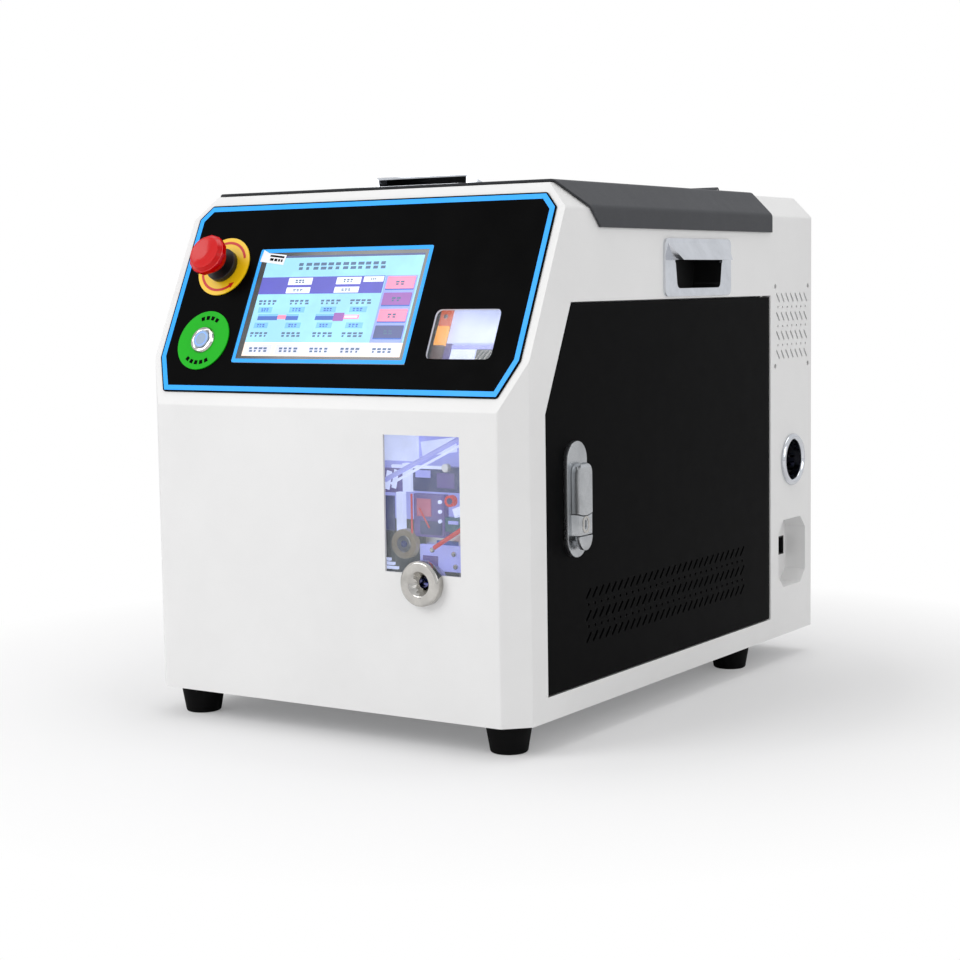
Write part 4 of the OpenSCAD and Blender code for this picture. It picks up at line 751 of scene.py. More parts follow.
@dataclass
class Studio:
    """Camera, soft lights and the pale floor."""

    eye: tuple[float, float, float] = (0.9320, -1.46246, 0.34984)
    yaw: float = 33.12
    pitch: float = 5.677
    roll: float = -0.844
    lens: float = 74.39
    sensor: float = 36.0
    world_strength: float = 0.62
    room_strength: float = 0.8
    floor_glow: float = 0.2

    def build(self) -> None:
        """Makes the camera, the lights, the world and the floor."""
        self._camera()
        self._world()
        self._lights()
        self._floor()

    def _camera(self) -> None:
        """Sets the photograph's view."""
        yaw, pitch, roll = (math.radians(a) for a in (self.yaw, self.pitch, self.roll))
        ahead = Vector((-math.sin(yaw) * math.cos(pitch), math.cos(yaw) * math.cos(pitch), -math.sin(pitch)))
        right = Vector((math.cos(yaw), math.sin(yaw), 0))
        up = right.cross(ahead)
        across = right * math.cos(roll) + up * math.sin(roll)
        upright = up * math.cos(roll) - right * math.sin(roll)
        data = bpy.data.cameras.new("camera")
        data.lens = self.lens
        data.sensor_width = self.sensor
        data.clip_end = 50
        camera = bpy.data.objects.new("camera", data)
        camera.matrix_world = (
            Matrix.Translation(Vector(self.eye)) @ Matrix((across, upright, -ahead)).transposed().to_4x4()
        )
        bpy.context.scene.collection.objects.link(camera)
        bpy.context.scene.camera = camera

    def _world(self) -> None:
        """White behind the object, soft light on it and a pale room in its reflections."""
        world = bpy.data.worlds.new("studio")
        world.use_nodes = True
        tree = world.node_tree
        tree.nodes.clear()
        output = tree.nodes.new("ShaderNodeOutputWorld")
        paths = tree.nodes.new("ShaderNodeLightPath")
        light, room, white = (tree.nodes.new("ShaderNodeBackground") for _ in range(3))
        for node, colour, strength in ((light, (1.0, 0.995, 0.985, 1), self.world_strength),
                                       (room, (0.96, 0.975, 1.0, 1), self.room_strength),
                                       (white, (1, 1, 1, 1), 1.0)):
            node.inputs[0].default_value = colour
            node.inputs[1].default_value = strength
        first = tree.nodes.new("ShaderNodeMixShader")
        second = tree.nodes.new("ShaderNodeMixShader")
        tree.links.new(paths.outputs["Is Glossy Ray"], first.inputs[0])
        tree.links.new(light.outputs[0], first.inputs[1])
        tree.links.new(room.outputs[0], first.inputs[2])
        tree.links.new(paths.outputs["Is Camera Ray"], second.inputs[0])
        tree.links.new(first.outputs[0], second.inputs[1])
        tree.links.new(white.outputs[0], second.inputs[2])
        tree.links.new(second.outputs[0], output.inputs[0])
        bpy.context.scene.world = world
        bpy.context.scene.view_settings.view_transform = "Standard"

    def _lights(self) -> None:
        """Sets up the large soft lamps."""
        self._lamp("key", (-1.5, -2.6, 2.1), (0, -0.1, 0.2), 1.9, 46.0)
        self._lamp("side", (2.6, -0.6, 1.3), (0.1, 0.0, 0.2), 1.4, 9.0)
        self._lamp("top", (0.2, 0.5, 2.6), (0, 0, 0.3), 1.6, 16.0)

    def _lamp(self, name: str, place: Sequence[float], aim: Sequence[float], size: float,
              power: float) -> None:
        """Adds one square area lamp that looks at a point.

        Args:
            name: Its name.
            place: Where it hangs, in metres.
            aim: The point that it looks at.
            size: Its side, in metres.
            power: Its power, in watts.
        """
        data = bpy.data.lights.new(name, "AREA")
        data.size = size
        data.energy = power
        lamp = bpy.data.objects.new(name, data)
        direction = Vector(aim) - Vector(place)
        lamp.rotation_euler = direction.to_track_quat("-Z", "Y").to_euler()
        lamp.location = place
        bpy.context.scene.collection.objects.link(lamp)

    def _floor(self) -> None:
        """White floor that keeps the object's soft shadow and fades into the background."""
        shader = Shader("floor_white")
        shader.set(Base_Color=shade((0.93, 0.93, 0.935)), Roughness=0.9, Specular_IOR_Level=0.1)
        tree = shader.tree
        paths = shader.node("ShaderNodeLightPath", {}, {}, "Is Camera Ray")
        glow = shader.node("ShaderNodeEmission", {}, {"Color": (1, 1, 1, 1), "Strength": 1.0})
        both = tree.nodes.new("ShaderNodeMixShader")
        place = shader.node("ShaderNodeTexCoord", {}, {}, "Object")
        away = shader.node("ShaderNodeVectorMath", {"operation": "LENGTH"}, {0: place}, "Value")
        tree.links.new((paths * shader.span(away, 0.34, 0.62, self.floor_glow, 1.0)).socket, both.inputs[0])
        tree.links.new(shader.surface.outputs[0], both.inputs[1])
        tree.links.new(glow.socket, both.inputs[2])
        output = next(n for n in tree.nodes if n.type == "OUTPUT_MATERIAL")
        tree.links.new(both.outputs[0], output.inputs["Surface"])
        shape = bmesh.new()
        bmesh.ops.create_grid(shape, x_segments=2, y_segments=2, size=6.0)
        floor = finish_mesh("floor", shape, shader.material)


class Paint(Enum):
    """Every finish of the machine."""

    WHITE_COAT = PowderCoat((0.915, 0.915, 0.915), 0.4, 1.3, 0.55, 0.12, 0.008)
    BLACK_COAT = PowderCoat((0.018, 0.018, 0.02), 0.5, 0.9, 0.6, 0.12, 0.02, 0.03)
    CHARCOAL_COAT = PowderCoat((0.24, 0.245, 0.26), 0.5, 1.0, 0.5, 0.1, 0.03, 0.3)
    ZINC = Metal((0.72, 0.73, 0.75), 0.35, Grain.NONE, 1.5, 0.1, 0.15)
    NICKEL = Metal((0.78, 0.77, 0.75), 0.22, Grain.NONE, 0.8, 0.08)
    CHROME = Metal((0.86, 0.87, 0.89), 0.09, Grain.NONE, 3.0, 0.03, 0.05)
    POLISHED = Metal((0.80, 0.79, 0.77), 0.11, Grain.NONE, 1.2, 0.06)
    CAST_ZINC = Metal((0.76, 0.77, 0.78), 0.28, Grain.NONE, 0.7, 0.35, 0.1)
    ALUMINIUM = Metal((0.80, 0.81, 0.83), 0.3, Grain.ALONG_X, 0.4, 0.12)
    BENT_SHEET = Metal((0.70, 0.71, 0.73), 0.38, Grain.ALONG_Y, 0.6, 0.1)
    TOOL_STEEL = Metal((0.52, 0.54, 0.58), 0.24, Grain.ALONG_Z, 0.35, 0.15)
    BRONZE = Metal((0.78, 0.60, 0.32), 0.26, Grain.NONE, 0.8, 0.1)
    BLUE_ANODISED = Metal((0.16, 0.32, 0.66), 0.3, Grain.NONE, 0.5, 0.1)
    MOTOR_BLACK = Plastic((0.07, 0.07, 0.075), 0.4, 0.8, 0.2)
    BLACK_RUBBER = Plastic((0.03, 0.03, 0.032), 0.75, 0.6, 0.25, 0.0, 0.02, 0.0, 0.1)
    BLACK_PLASTIC = Plastic((0.05, 0.05, 0.055), 0.42, 0.4, 0.12)
    GREY_PLASTIC = Plastic((0.22, 0.22, 0.24), 0.5, 0.4, 0.12)
    CAP_PLASTIC = Plastic((0.56, 0.66, 0.78), 0.35, 0.4, 0.08, 0.2)
    WHITE_PLASTIC = Plastic((0.93, 0.94, 0.96), 0.35, 0.5, 0.05, 0.2)
    FOIL_BLACK = Plastic((0.006, 0.006, 0.007), 0.4, 2.0, 0.02, 0.0, 0.002, 0.0, 0.02)
    # Its glow of 0.3 is painted light on the printed blue line, which is no lamp.
    FOIL_BLUE = Plastic((0.06, 0.60, 0.94), 0.35, 1.0, 0.02, 0.0, 0.004, 0.3, 0.3)
    FOIL_YELLOW = Plastic((0.98, 0.80, 0.02), 0.35, 1.0, 0.03, 0.3, 0.02)
    FOIL_GREEN = Plastic((0.03, 0.70, 0.05), 0.4, 1.0, 0.03, 0.0, 0.01, 0.0, 0.15)
    RED_PLASTIC = Plastic((0.80, 0.0, 0.012), 0.22, 0.6, 0.04, 0.12, 0.0, 0.0, 0.2)
    RED_INK = Plastic((0.8, 0.08, 0.05), 0.4, 1.0, 0.02)
    AMBER = Clear((0.95, 0.62, 0.12), 0.75, 0.15)
    CLEAR = Clear((0.93, 0.97, 1.0), 0.08, 0.03)
    SCREEN_GLASS = Plastic((0.015, 0.02, 0.03), 0.12, 2.0, 0.01, 0.6, 0.0)
    # SHEET_WHITE to STRAW glow on parts behind the windows that are no lamps: painted light.
    SHEET_WHITE = Lit((0.80, 0.84, 1.0), 0.9)
    SHEET_LILAC = Lit((0.60, 0.62, 0.92), 0.75)
    DEEP_BLUE = Lit((0.07, 0.11, 0.42), 0.5)
    VIOLET = Lit((0.35, 0.27, 0.60), 0.5)
    ROSE = Lit((0.72, 0.35, 0.50), 0.5)
    TEAL = Lit((0.10, 0.32, 0.42), 0.5)
    RED_LIT = Lit((0.78, 0.05, 0.05), 0.6)
    AMBER_LIT = Lit((0.85, 0.33, 0.02), 0.75)
    GOLD_LIT = Lit((1.0, 0.66, 0.10), 0.85)
    RUST_LIT = Lit((0.30, 0.08, 0.02), 0.5)
    GREEN_DARK = Lit((0.02, 0.07, 0.03), 0.4)
    STRAW = Lit((0.55, 0.50, 0.42), 0.45)
    LED_BLUE = Lit((0.42, 0.62, 1.0), 1.1)

    def get(self) -> bpy.types.Material:
        """The finish's material, made once."""
        name = f"{self.name.lower()}_finish"
        return bpy.data.materials.get(name) or self.value.material(name)


NODE_PAINT: dict[str, Paint] = {
    "housing": Paint.WHITE_COAT, "top_sheet": Paint.WHITE_COAT, "side_sheets": Paint.WHITE_COAT,
    "housing_frame": Paint.WHITE_COAT, "rear_panel": Paint.WHITE_COAT, "recess_box": Paint.WHITE_COAT,
    "base_pan": Paint.ZINC, "rubber_feet": Paint.BLACK_RUBBER, "fasteners": Paint.NICKEL,
    "clear_windows": Paint.CLEAR, "wire_funnel": Paint.POLISHED,
    "panel_overlay": Paint.FOIL_BLACK, "screen_module": Paint.BLACK_PLASTIC,
    "screen_glass": Paint.SCREEN_GLASS, "button_discs": Paint.FOIL_YELLOW, "stop_body": Paint.BLACK_PLASTIC,
    "stop_plunger": Paint.GREY_PLASTIC, "stop_head": Paint.RED_PLASTIC, "power_body": Paint.POLISHED,
    "power_cap": Paint.CAP_PLASTIC, "side_grips": Paint.CHROME,
    "lid_grip": Paint.CHROME, "round_port": Paint.CHROME, "power_socket": Paint.BLACK_PLASTIC,
    "fan_frame": Paint.BLACK_PLASTIC, "fan_rotor": Paint.BLACK_PLASTIC, "side_door": Paint.BLACK_COAT,
    "hinge_pins": Paint.NICKEL, "hinge_leaves": Paint.CHARCOAL_COAT, "lid_leaves": Paint.CHARCOAL_COAT,
    "lid": Paint.CHARCOAL_COAT, "lock_base": Paint.CAST_ZINC, "lock_rotor": Paint.CAST_ZINC,
    "lock_lever": Paint.CAST_ZINC, "lock_button": Paint.CAST_ZINC, "mech_table": Paint.ALUMINIUM,
    "clamp_frame": Paint.ALUMINIUM, "clamp_upper": Paint.BLUE_ANODISED, "clamp_lower": Paint.BLUE_ANODISED,
    "strip_carriage": Paint.ALUMINIUM, "blade_upper": Paint.TOOL_STEEL, "blade_lower": Paint.TOOL_STEEL,
    "guide_rods": Paint.POLISHED, "feed_screw": Paint.POLISHED, "step_motor": Paint.MOTOR_BLACK,
    "crimp_block": Paint.TOOL_STEEL, "cam_ring": Paint.BRONZE, "crimp_die_1": Paint.TOOL_STEEL,
    "crimp_die_2": Paint.TOOL_STEEL, "crimp_die_3": Paint.TOOL_STEEL, "crimp_die_4": Paint.TOOL_STEEL,
    "servo_motor": Paint.MOTOR_BLACK, "servo_pinion": Paint.POLISHED, "feeder_shelf": Paint.BENT_SHEET,
    "feeder_drive": Paint.MOTOR_BLACK, "feeder_bowl": Paint.ALUMINIUM, "feed_tube": Paint.AMBER,
    "power_supply": Paint.BENT_SHEET, "controller": Paint.GREY_PLASTIC, "scrap_tray": Paint.BLUE_ANODISED,
}


# Height in metres between the two coloured discs
DISC_SPLIT = 0.334


def dress_nodes(nodes: dict[str, bpy.types.Object]) -> None:
    """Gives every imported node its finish.

    Args:
        nodes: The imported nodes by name.
    """
    for name, paint in NODE_PAINT.items():
        node = nodes[name]
        node.data.materials.clear()
        node.data.materials.append(paint.get())
        for polygon in node.data.polygons:
            polygon.material_index = 0
        LOG.info("node %s dressed in %s", name, paint.name.lower())
    discs = nodes["button_discs"].data
    discs.materials.append(Paint.FOIL_GREEN.get())
    for polygon in discs.polygons:
        polygon.material_index = int(polygon.center.z < DISC_SPLIT)


def ride(thing: bpy.types.Object, body: str, *replaced: str) -> bpy.types.Object:
    """Lets a piece ride on a body, replace nodes if any are named, and reports it.

    Args:
        thing: The piece.
        body: The body that it moves with.
        replaced: Nodes that it stands in for.

    Returns:
        The piece itself.
    """
    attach(thing, body)
    if replaced:
        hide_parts(*replaced)
    LOG.info("piece %s rides on %s", thing.name, body)
    return thing


@dataclass
class SlopedPanel:
    """Places on the sloped panel: X from the machine's middle, S up the slope, in millimetres."""

    front_y: float = -260.0
    bend_z: float = 256.0
    lean: float = 25.5
    face: float = 1.2

    def frame(self, x: float = 0.0, s: float = 0.0, turn: float = 0.0) -> Frame:
        """Frame on the panel's face at a place.

        Args:
            x: Across the panel.
            s: Up the slope.
            turn: Turn within the panel, in degrees.

        Returns:
            The frame, in metres.
        """
        a = math.radians(self.lean)
        out = Vector((0, -math.cos(a), math.sin(a)))
        up = Vector((0, math.sin(a), math.cos(a)))
        origin = Vector((x, self.front_y, self.bend_z)) + up * s + out * self.face
        t = math.radians(turn)
        along = Vector((1, 0, 0)) * math.cos(t) + up * math.sin(t)
        return Frame(origin * MM, along, out)


@dataclass
class Display:
    """What the touch screen shows: plain fields, bars and buttons without lettering."""

    panel: SlopedPanel
    left: float = -88.5
    low: float = 42.5
    width: float = 154.0
    height: float = 87.0
    film: float = 0.05
    gap: float = 0.02
    layers: dict[str, bmesh.types.BMesh] = field(default_factory=dict)
    paints: dict[str, Lit] = field(default_factory=dict)

    def patch(self, paint: Lit, name: str, u0: float, v0: float, u1: float, v1: float, level: int,
              radius: float = 0.0) -> None:
        """Adds one coloured field.

        Args:
            paint: Its finish, shared by all fields of that name.
            name: Name of the colour.
            u0: Left edge as a share of the width.
            v0: Upper edge as a share of the height, from the top.
            u1: Right edge.
            v1: Lower edge.
            level: How many films lie below it.
            radius: Corner radius in millimetres.
        """
        if name not in self.layers:
            self.layers[name] = bmesh.new()
            self.paints[name] = paint
        wide, high = (u1 - u0) * self.width, (v1 - v0) * self.height
        x = self.left + (u0 + u1) / 2 * self.width
        s = self.low + (1 - (v0 + v1) / 2) * self.height
        frame = self.panel.frame(x, s)
        points = [(px * MM, py * MM) for px, py in outline_box(wide, high, radius, 3)]
        low = self.gap + level * self.film
        add_prism(self.layers[name], frame, points, low * MM, (low + self.film) * MM)

    def dashes(self, name: str, paint: Lit, u0: float, v0: float, u1: float, v1: float, count: int,
               level: int) -> None:
        """Adds a row of plain blocks.

        Args:
            name: Name of the colour.
            paint: Its finish.
            u0: Left edge of the row.
            v0: Its upper edge.
            u1: Its right edge.
            v1: Its lower edge.
            count: Pairs of blocks.
            level: How many films lie below them.
        """
        rng = random.Random(int(u0 * 1000) * 31 + int(v0 * 1000))
        step, high = (u1 - u0) / count, v1 - v0
        for i in range(count):
            a = u0 + i * step
            self.patch(paint, name, a, v0, a + step * rng.uniform(0.55, 0.8), v0 + high * 0.42, level)
            self.patch(paint, name, a + step * 0.1, v0 + high * 0.6, a + step * rng.uniform(0.4, 0.85), v1,
                       level)

    def build(self) -> None:
        """Makes every field and button, one object for each colour."""
        pale, indigo = Lit((0.57, 0.82, 0.96), 0.82), Lit((0.27, 0.27, 0.70), 0.9)
        white, text = Lit((0.90, 0.93, 1.0), 0.85), Lit((0.28, 0.42, 0.58), 0.5)
        blue, deep = Lit((0.42, 0.70, 0.95), 0.9), Lit((0.16, 0.36, 0.72), 0.8)
        rose, plum = Lit((0.93, 0.52, 0.66), 0.9), Lit((0.56, 0.32, 0.66), 0.85)
        peach, navy = Lit((0.96, 0.86, 0.82), 0.95), Lit((0.25, 0.30, 0.52), 0.8)
        lilac = Lit((0.84, 0.85, 0.96), 0.85)
        violet = Lit((0.52, 0.60, 0.92), 0.9)
        self.patch(pale, "screen_pale", 0, 0.02, 1, 0.865, 0)
        self.patch(navy, "screen_navy", 0, 0, 1, 0.018, 0)
        self.patch(peach, "screen_peach", 0, 0.865, 1, 1, 0)
        self.patch(indigo, "screen_indigo", 0, 0.215, 0.79, 0.385, 1)
        self.patch(violet, "screen_violet", 0.795, 0.215, 0.99, 0.865, 1)
        self.dashes("screen_text", text, 0.22, 0.075, 0.79, 0.145, 12, 1)
        for u0, v0, u1, v1 in ((0.18, 0.225, 0.335, 0.295), (0.18, 0.32, 0.335, 0.378),
                               (0.49, 0.225, 0.645, 0.295), (0.49, 0.32, 0.645, 0.378),
                               (0.66, 0.222, 0.785, 0.275)):
            self.patch(white, "screen_white", u0, v0, u1, v1, 2, 0.4)
            self.dashes("screen_text", text, u0 + 0.045, v0 + 0.018, u1 - 0.045, v1 - 0.018, 3, 3)
        for u, w in ((0.03, 0.11), (0.235, 0.12), (0.435, 0.12), (0.62, 0.13)):
            for v in (0.445, 0.765):
                self.dashes("screen_text", text, u - 0.01, v, u + w, v + 0.045, 4, 1)
            for v in (0.515, 0.67):
                self.patch(blue, "screen_blue", u, v, u + w * 0.82, v + 0.055, 1)
                self.dashes("screen_deep", deep, u + 0.02, v + 0.012, u + w * 0.65, v + 0.043, 3, 2)
        for u0, u1 in ((0.04, 0.17), (0.225, 0.305), (0.415, 0.53)):
            self.patch(deep, "screen_deep", u0, 0.60, u1, 0.645, 1)
            self.patch(blue, "screen_blue", u0, 0.585, u1, 0.605, 2)
        self.patch(rose, "screen_rose", 0.17, 0.595, 0.225, 0.635, 1)
        self.patch(plum, "screen_plum", 0.53, 0.575, 0.595, 0.655, 1, 0.4)
        self.patch(rose, "screen_rose", 0.595, 0.595, 0.69, 0.635, 1)
        self.patch(white, "screen_white", 0.60, 0.604, 0.68, 0.622, 2)
        for i, (paint, name) in enumerate(((rose, "screen_rose"), (plum, "screen_plum"),
                                           (rose, "screen_rose"), (navy, "screen_navy"))):
            v = 0.225 + 0.158 * i
            self.patch(deep, "screen_deep", 0.808, v + 0.01, 0.982, v + 0.132, 2, 0.5)
            self.patch(paint, name, 0.808, v, 0.98, v + 0.12, 3, 0.5)
            self.dashes("screen_text", text, 0.865, v + 0.045, 0.925, v + 0.085, 2, 4)
        for i in range(5):
            u = 0.015 + 0.196 * i
            self.patch(lilac, "screen_lilac", u, 0.885, u + 0.17, 0.985, 1, 0.8)
            self.dashes("screen_text", text, u + 0.025, 0.915, u + 0.15, 0.96, 4, 2)
        for name, shape in self.layers.items():
            bpy_paint = bpy.data.materials.get(name) or self.paints[name].material(name)
            thing = finish_mesh(name, shape, bpy_paint)
            ride(thing, "machine")


@dataclass
class PanelPrint:
    """Printed lines, the peel tab and the marks on the coloured discs."""

    panel: SlopedPanel
    film: float = 0.12
    screen_x: float = -12.85
    screen_s: float = 86.35
    screen_w: float = 168.9
    screen_h: float = 99.0
    screen_r: float = 1.6
    line: float = 3.2
    tab_x: float = -82.5
    tab_s: float = 127.5
    tab_turn: float = -7.0
    disc_x: float = -132.0
    yellow_s: float = 121.0
    green_s: float = 55.5
    disc_top: float = 1.0

    def build(self) -> None:
        """Makes the blue line round the screen, the tab and the disc marks."""
        shape = bmesh.new()
        frame = self.panel.frame(self.screen_x, self.screen_s)
        wide, high, line = self.screen_w, self.screen_h, self.line
        outer = [(x * MM, y * MM) for x, y in outline_box(wide, high, self.screen_r)]
        hole = outline_box(wide - 2 * line, high - 2 * line, self.screen_r / 2)
        inner = [(x * MM, y * MM) for x, y in hole]
        add_ring(shape, frame, outer, inner, 0.005 * MM, self.film * MM)
        ride(finish_mesh("screen_outline", shape, Paint.FOIL_BLUE.get()), "machine")
        self._tab()
        self._disc_marks()

    def _tab(self) -> None:
        """The white pull tab of the screen's protective film."""
        shape = bmesh.new()
        frame = self.panel.frame(self.tab_x, self.tab_s, self.tab_turn)
        points = [(-0.0125, -0.0042), (0.0125, -0.0046), (0.0125, 0.0042), (-0.0062, 0.0040),
                  (-0.0125, 0.0062)]
        low, top, ink = 0.32 * MM, 0.5 * MM, 0.55 * MM
        add_prism(shape, frame, points, low, top)
        ride(finish_mesh("film_tab", shape, Paint.WHITE_PLASTIC.get()), "machine")
        marks = bmesh.new()
        bars = ((-0.004, 0.0108, 0.0012, 0.0028), (-0.003, 0.0005, -0.0022, 0.0),
                (0.0015, 0.0045, -0.0022, 0.0), (0.0055, 0.0075, -0.0022, 0.0),
                (0.0085, 0.0102, -0.0022, 0.0))
        for x0, x1, y0, y1 in bars:
            add_prism(marks, frame, [(x0, y0), (x1, y0), (x1, y1), (x0, y1)], top, ink)
        ride(finish_mesh("film_tab_bars", marks, Paint.FOIL_BLACK.get()), "machine")

    def _disc_marks(self) -> None:
        """Turn arrows on the yellow disc and plain arcs on the green one."""
        yellow = bmesh.new()
        low, high = self.disc_top * MM + 0.01 * MM, self.disc_top * MM + self.film * MM
        frame = self.panel.frame(self.disc_x, self.yellow_s)
        for start in (20.0, 200.0):
            outer, inner = circle(0.0222, 18, start, 105.0), circle(0.0200, 18, start, 105.0)
            add_prism(yellow, frame, outer + inner[::-1], low, high)
            tip = math.radians(start + 118.0)
            a, b = math.radians(start + 104.0), 0.0211
            head = [(0.0236 * math.cos(a), 0.0236 * math.sin(a)), (b * math.cos(tip), b * math.sin(tip)),
                    (0.0186 * math.cos(a), 0.0186 * math.sin(a))]
            add_prism(yellow, frame, head, low, high)
        ride(finish_mesh("turn_arrows", yellow, Paint.RED_INK.get()), "machine")
        green = bmesh.new()
        frame = self.panel.frame(self.disc_x, self.green_s)
        for start, count in ((58.0, 4), (232.0, 5)):
            for i in range(count):
                outer, inner = circle(0.0212, 4, start + 15 * i, 9.5), circle(0.0178, 4, start + 15 * i, 9.5)
                add_prism(green, frame, outer + inner[::-1], low, high)
        ride(finish_mesh("power_disc_marks", green, Paint.FOIL_BLACK.get()), "machine")


@dataclass
class PanelOutline:
    """The blue line that follows the black overlay's edge."""

    panel: SlopedPanel
    half_width: float = 173.0
    low: float = 11.0
    length: float = 186.13
    top: float = 9.0
    edge_cut: float = 17.5
    top_cut: float = 19.0
    inset: float = 1.2
    line: float = 4.2
    film: float = 0.12

    def build(self) -> None:
        """Makes the line as a thin raised band."""
        lean = math.radians(self.panel.lean)
        s1 = self.length - self.top
        low_cut = self.edge_cut - self.low * math.sin(lean)
        top_c = self.top_cut - self.top * math.cos(lean)
        x, rise, drop = self.half_width, low_cut / math.sin(lean), top_c / math.cos(lean)
        points = [(-x + low_cut, self.low), (x - low_cut, self.low), (x, self.low + rise), (x, s1 - drop),
                  (x - top_c, s1), (-x + top_c, s1), (-x, s1 - drop), (-x, self.low + rise)]
        outer = [(px * MM, ps * MM) for px, ps in shrunk(points, self.inset)]
        inner = [(px * MM, ps * MM) for px, ps in shrunk(points, self.inset + self.line)]
        shape = bmesh.new()
        add_ring(shape, self.panel.frame(), outer, inner, 0.005 * MM, self.film * MM)
        ride(finish_mesh("overlay_line", shape, Paint.FOIL_BLUE.get()), "machine")


@dataclass
class Niche:
    """What a window shows: plates, rods and rollers behind the sheet, placed along the line of sight, most
    of them in finishes that glow as painted light though they are no lamps.
    """

    name: str
    frame: Frame
    width: float
    height: float
    eye: tuple[float, float, float]
    layers: dict[Paint, bmesh.types.BMesh] = field(default_factory=dict)

    def layer(self, paint: Paint) -> bmesh.types.BMesh:
        """The mesh that holds the pieces of one finish.

        Args:
            paint: The finish.

        Returns:
            Its mesh, made once.
        """
        if paint not in self.layers:
            self.layers[paint] = bmesh.new()
        return self.layers[paint]

    def behind(self, u: float, v: float, depth: float) -> Point:
        """Place at a depth that the camera sees at a place of the window.

        Args:
            u: Share of the width, from the left.
            v: Share of the height, from the top.
            depth: Distance behind the window's face, in millimetres.

        Returns:
            X and Y in the window's frame, in metres.
        """
        x, y = (u - 0.5) * self.width * MM, (0.5 - v) * self.height * MM
        eye = self.frame.matrix.inverted() @ Vector(self.eye)
        share = depth * MM / eye.z
        return x + (x - eye.x) * share, y + (y - eye.y) * share

    def block(self, paint: Paint, u0: float, v0: float, u1: float, v1: float, depth: float,
              thick: float = 4.0, lean: float = 0.0, edge: float = 0.4) -> None:
        """Adds a block that fills a field of the window.

        Args:
            paint: Its finish.
            u0: Left edge.
            v0: Upper edge.
            u1: Right edge.
            v1: Lower edge.
            depth: How deep its face lies.
            thick: Its thickness.
            lean: Turn in the window's plane, in degrees.
            edge: Chamfer of its face.
        """
        x, y = self.behind((u0 + u1) / 2, (v0 + v1) / 2, depth)
        wide, high = (u1 - u0) * self.width * MM, (v1 - v0) * self.height * MM
        points = moved(outline_box(wide, high), x, y, lean)
        add_prism(self.layer(paint), self.frame, points, -(depth + thick) * MM, -depth * MM, edge * MM)

    def roller(self, paint: Paint, u: float, v: float, radius: float, depth: float, thick: float) -> None:
        """Adds a disc that faces the window.

        Args:
            paint: Its finish.
            u: Share of the width, from the left.
            v: Share of the height, from the top.
            radius: Its radius.
            depth: How deep its face lies.
            thick: Its thickness.
        """
        x, y = self.behind(u, v, depth)
        add_prism(self.layer(paint), self.frame, moved(circle(radius * MM, 40), x, y), -(depth + thick) * MM,
                  -depth * MM, 0.5 * MM)

    def rod(self, paint: Paint, a: Point, b: Point, radius: float, depth: float) -> None:
        """Adds a round rod between two places of the window.

        Args:
            paint: Its finish.
            a: Shares of width and height at one end.
            b: Shares at the other end.
            radius: Its radius.
            depth: How deep its axis lies.
        """
        ax, ay = self.behind(a[0], a[1], depth)
        bx, by = self.behind(b[0], b[1], depth)
        start, end = self.frame.at(ax, ay, -depth * MM), self.frame.at(bx, by, -depth * MM)
        along = (end - start).normalized()
        side = along.orthogonal()
        add_prism(self.layer(paint), Frame(start, side, along), circle(radius * MM, 20), 0,
                  (end - start).length, 0.3 * MM)

    def build(self) -> None:
        """Makes one object for each finish."""
        for paint, shape in self.layers.items():
            name = f"{self.name}_{paint.name.lower()}"
            ride(finish_mesh(name, shape, paint.get(), 35), "machine")


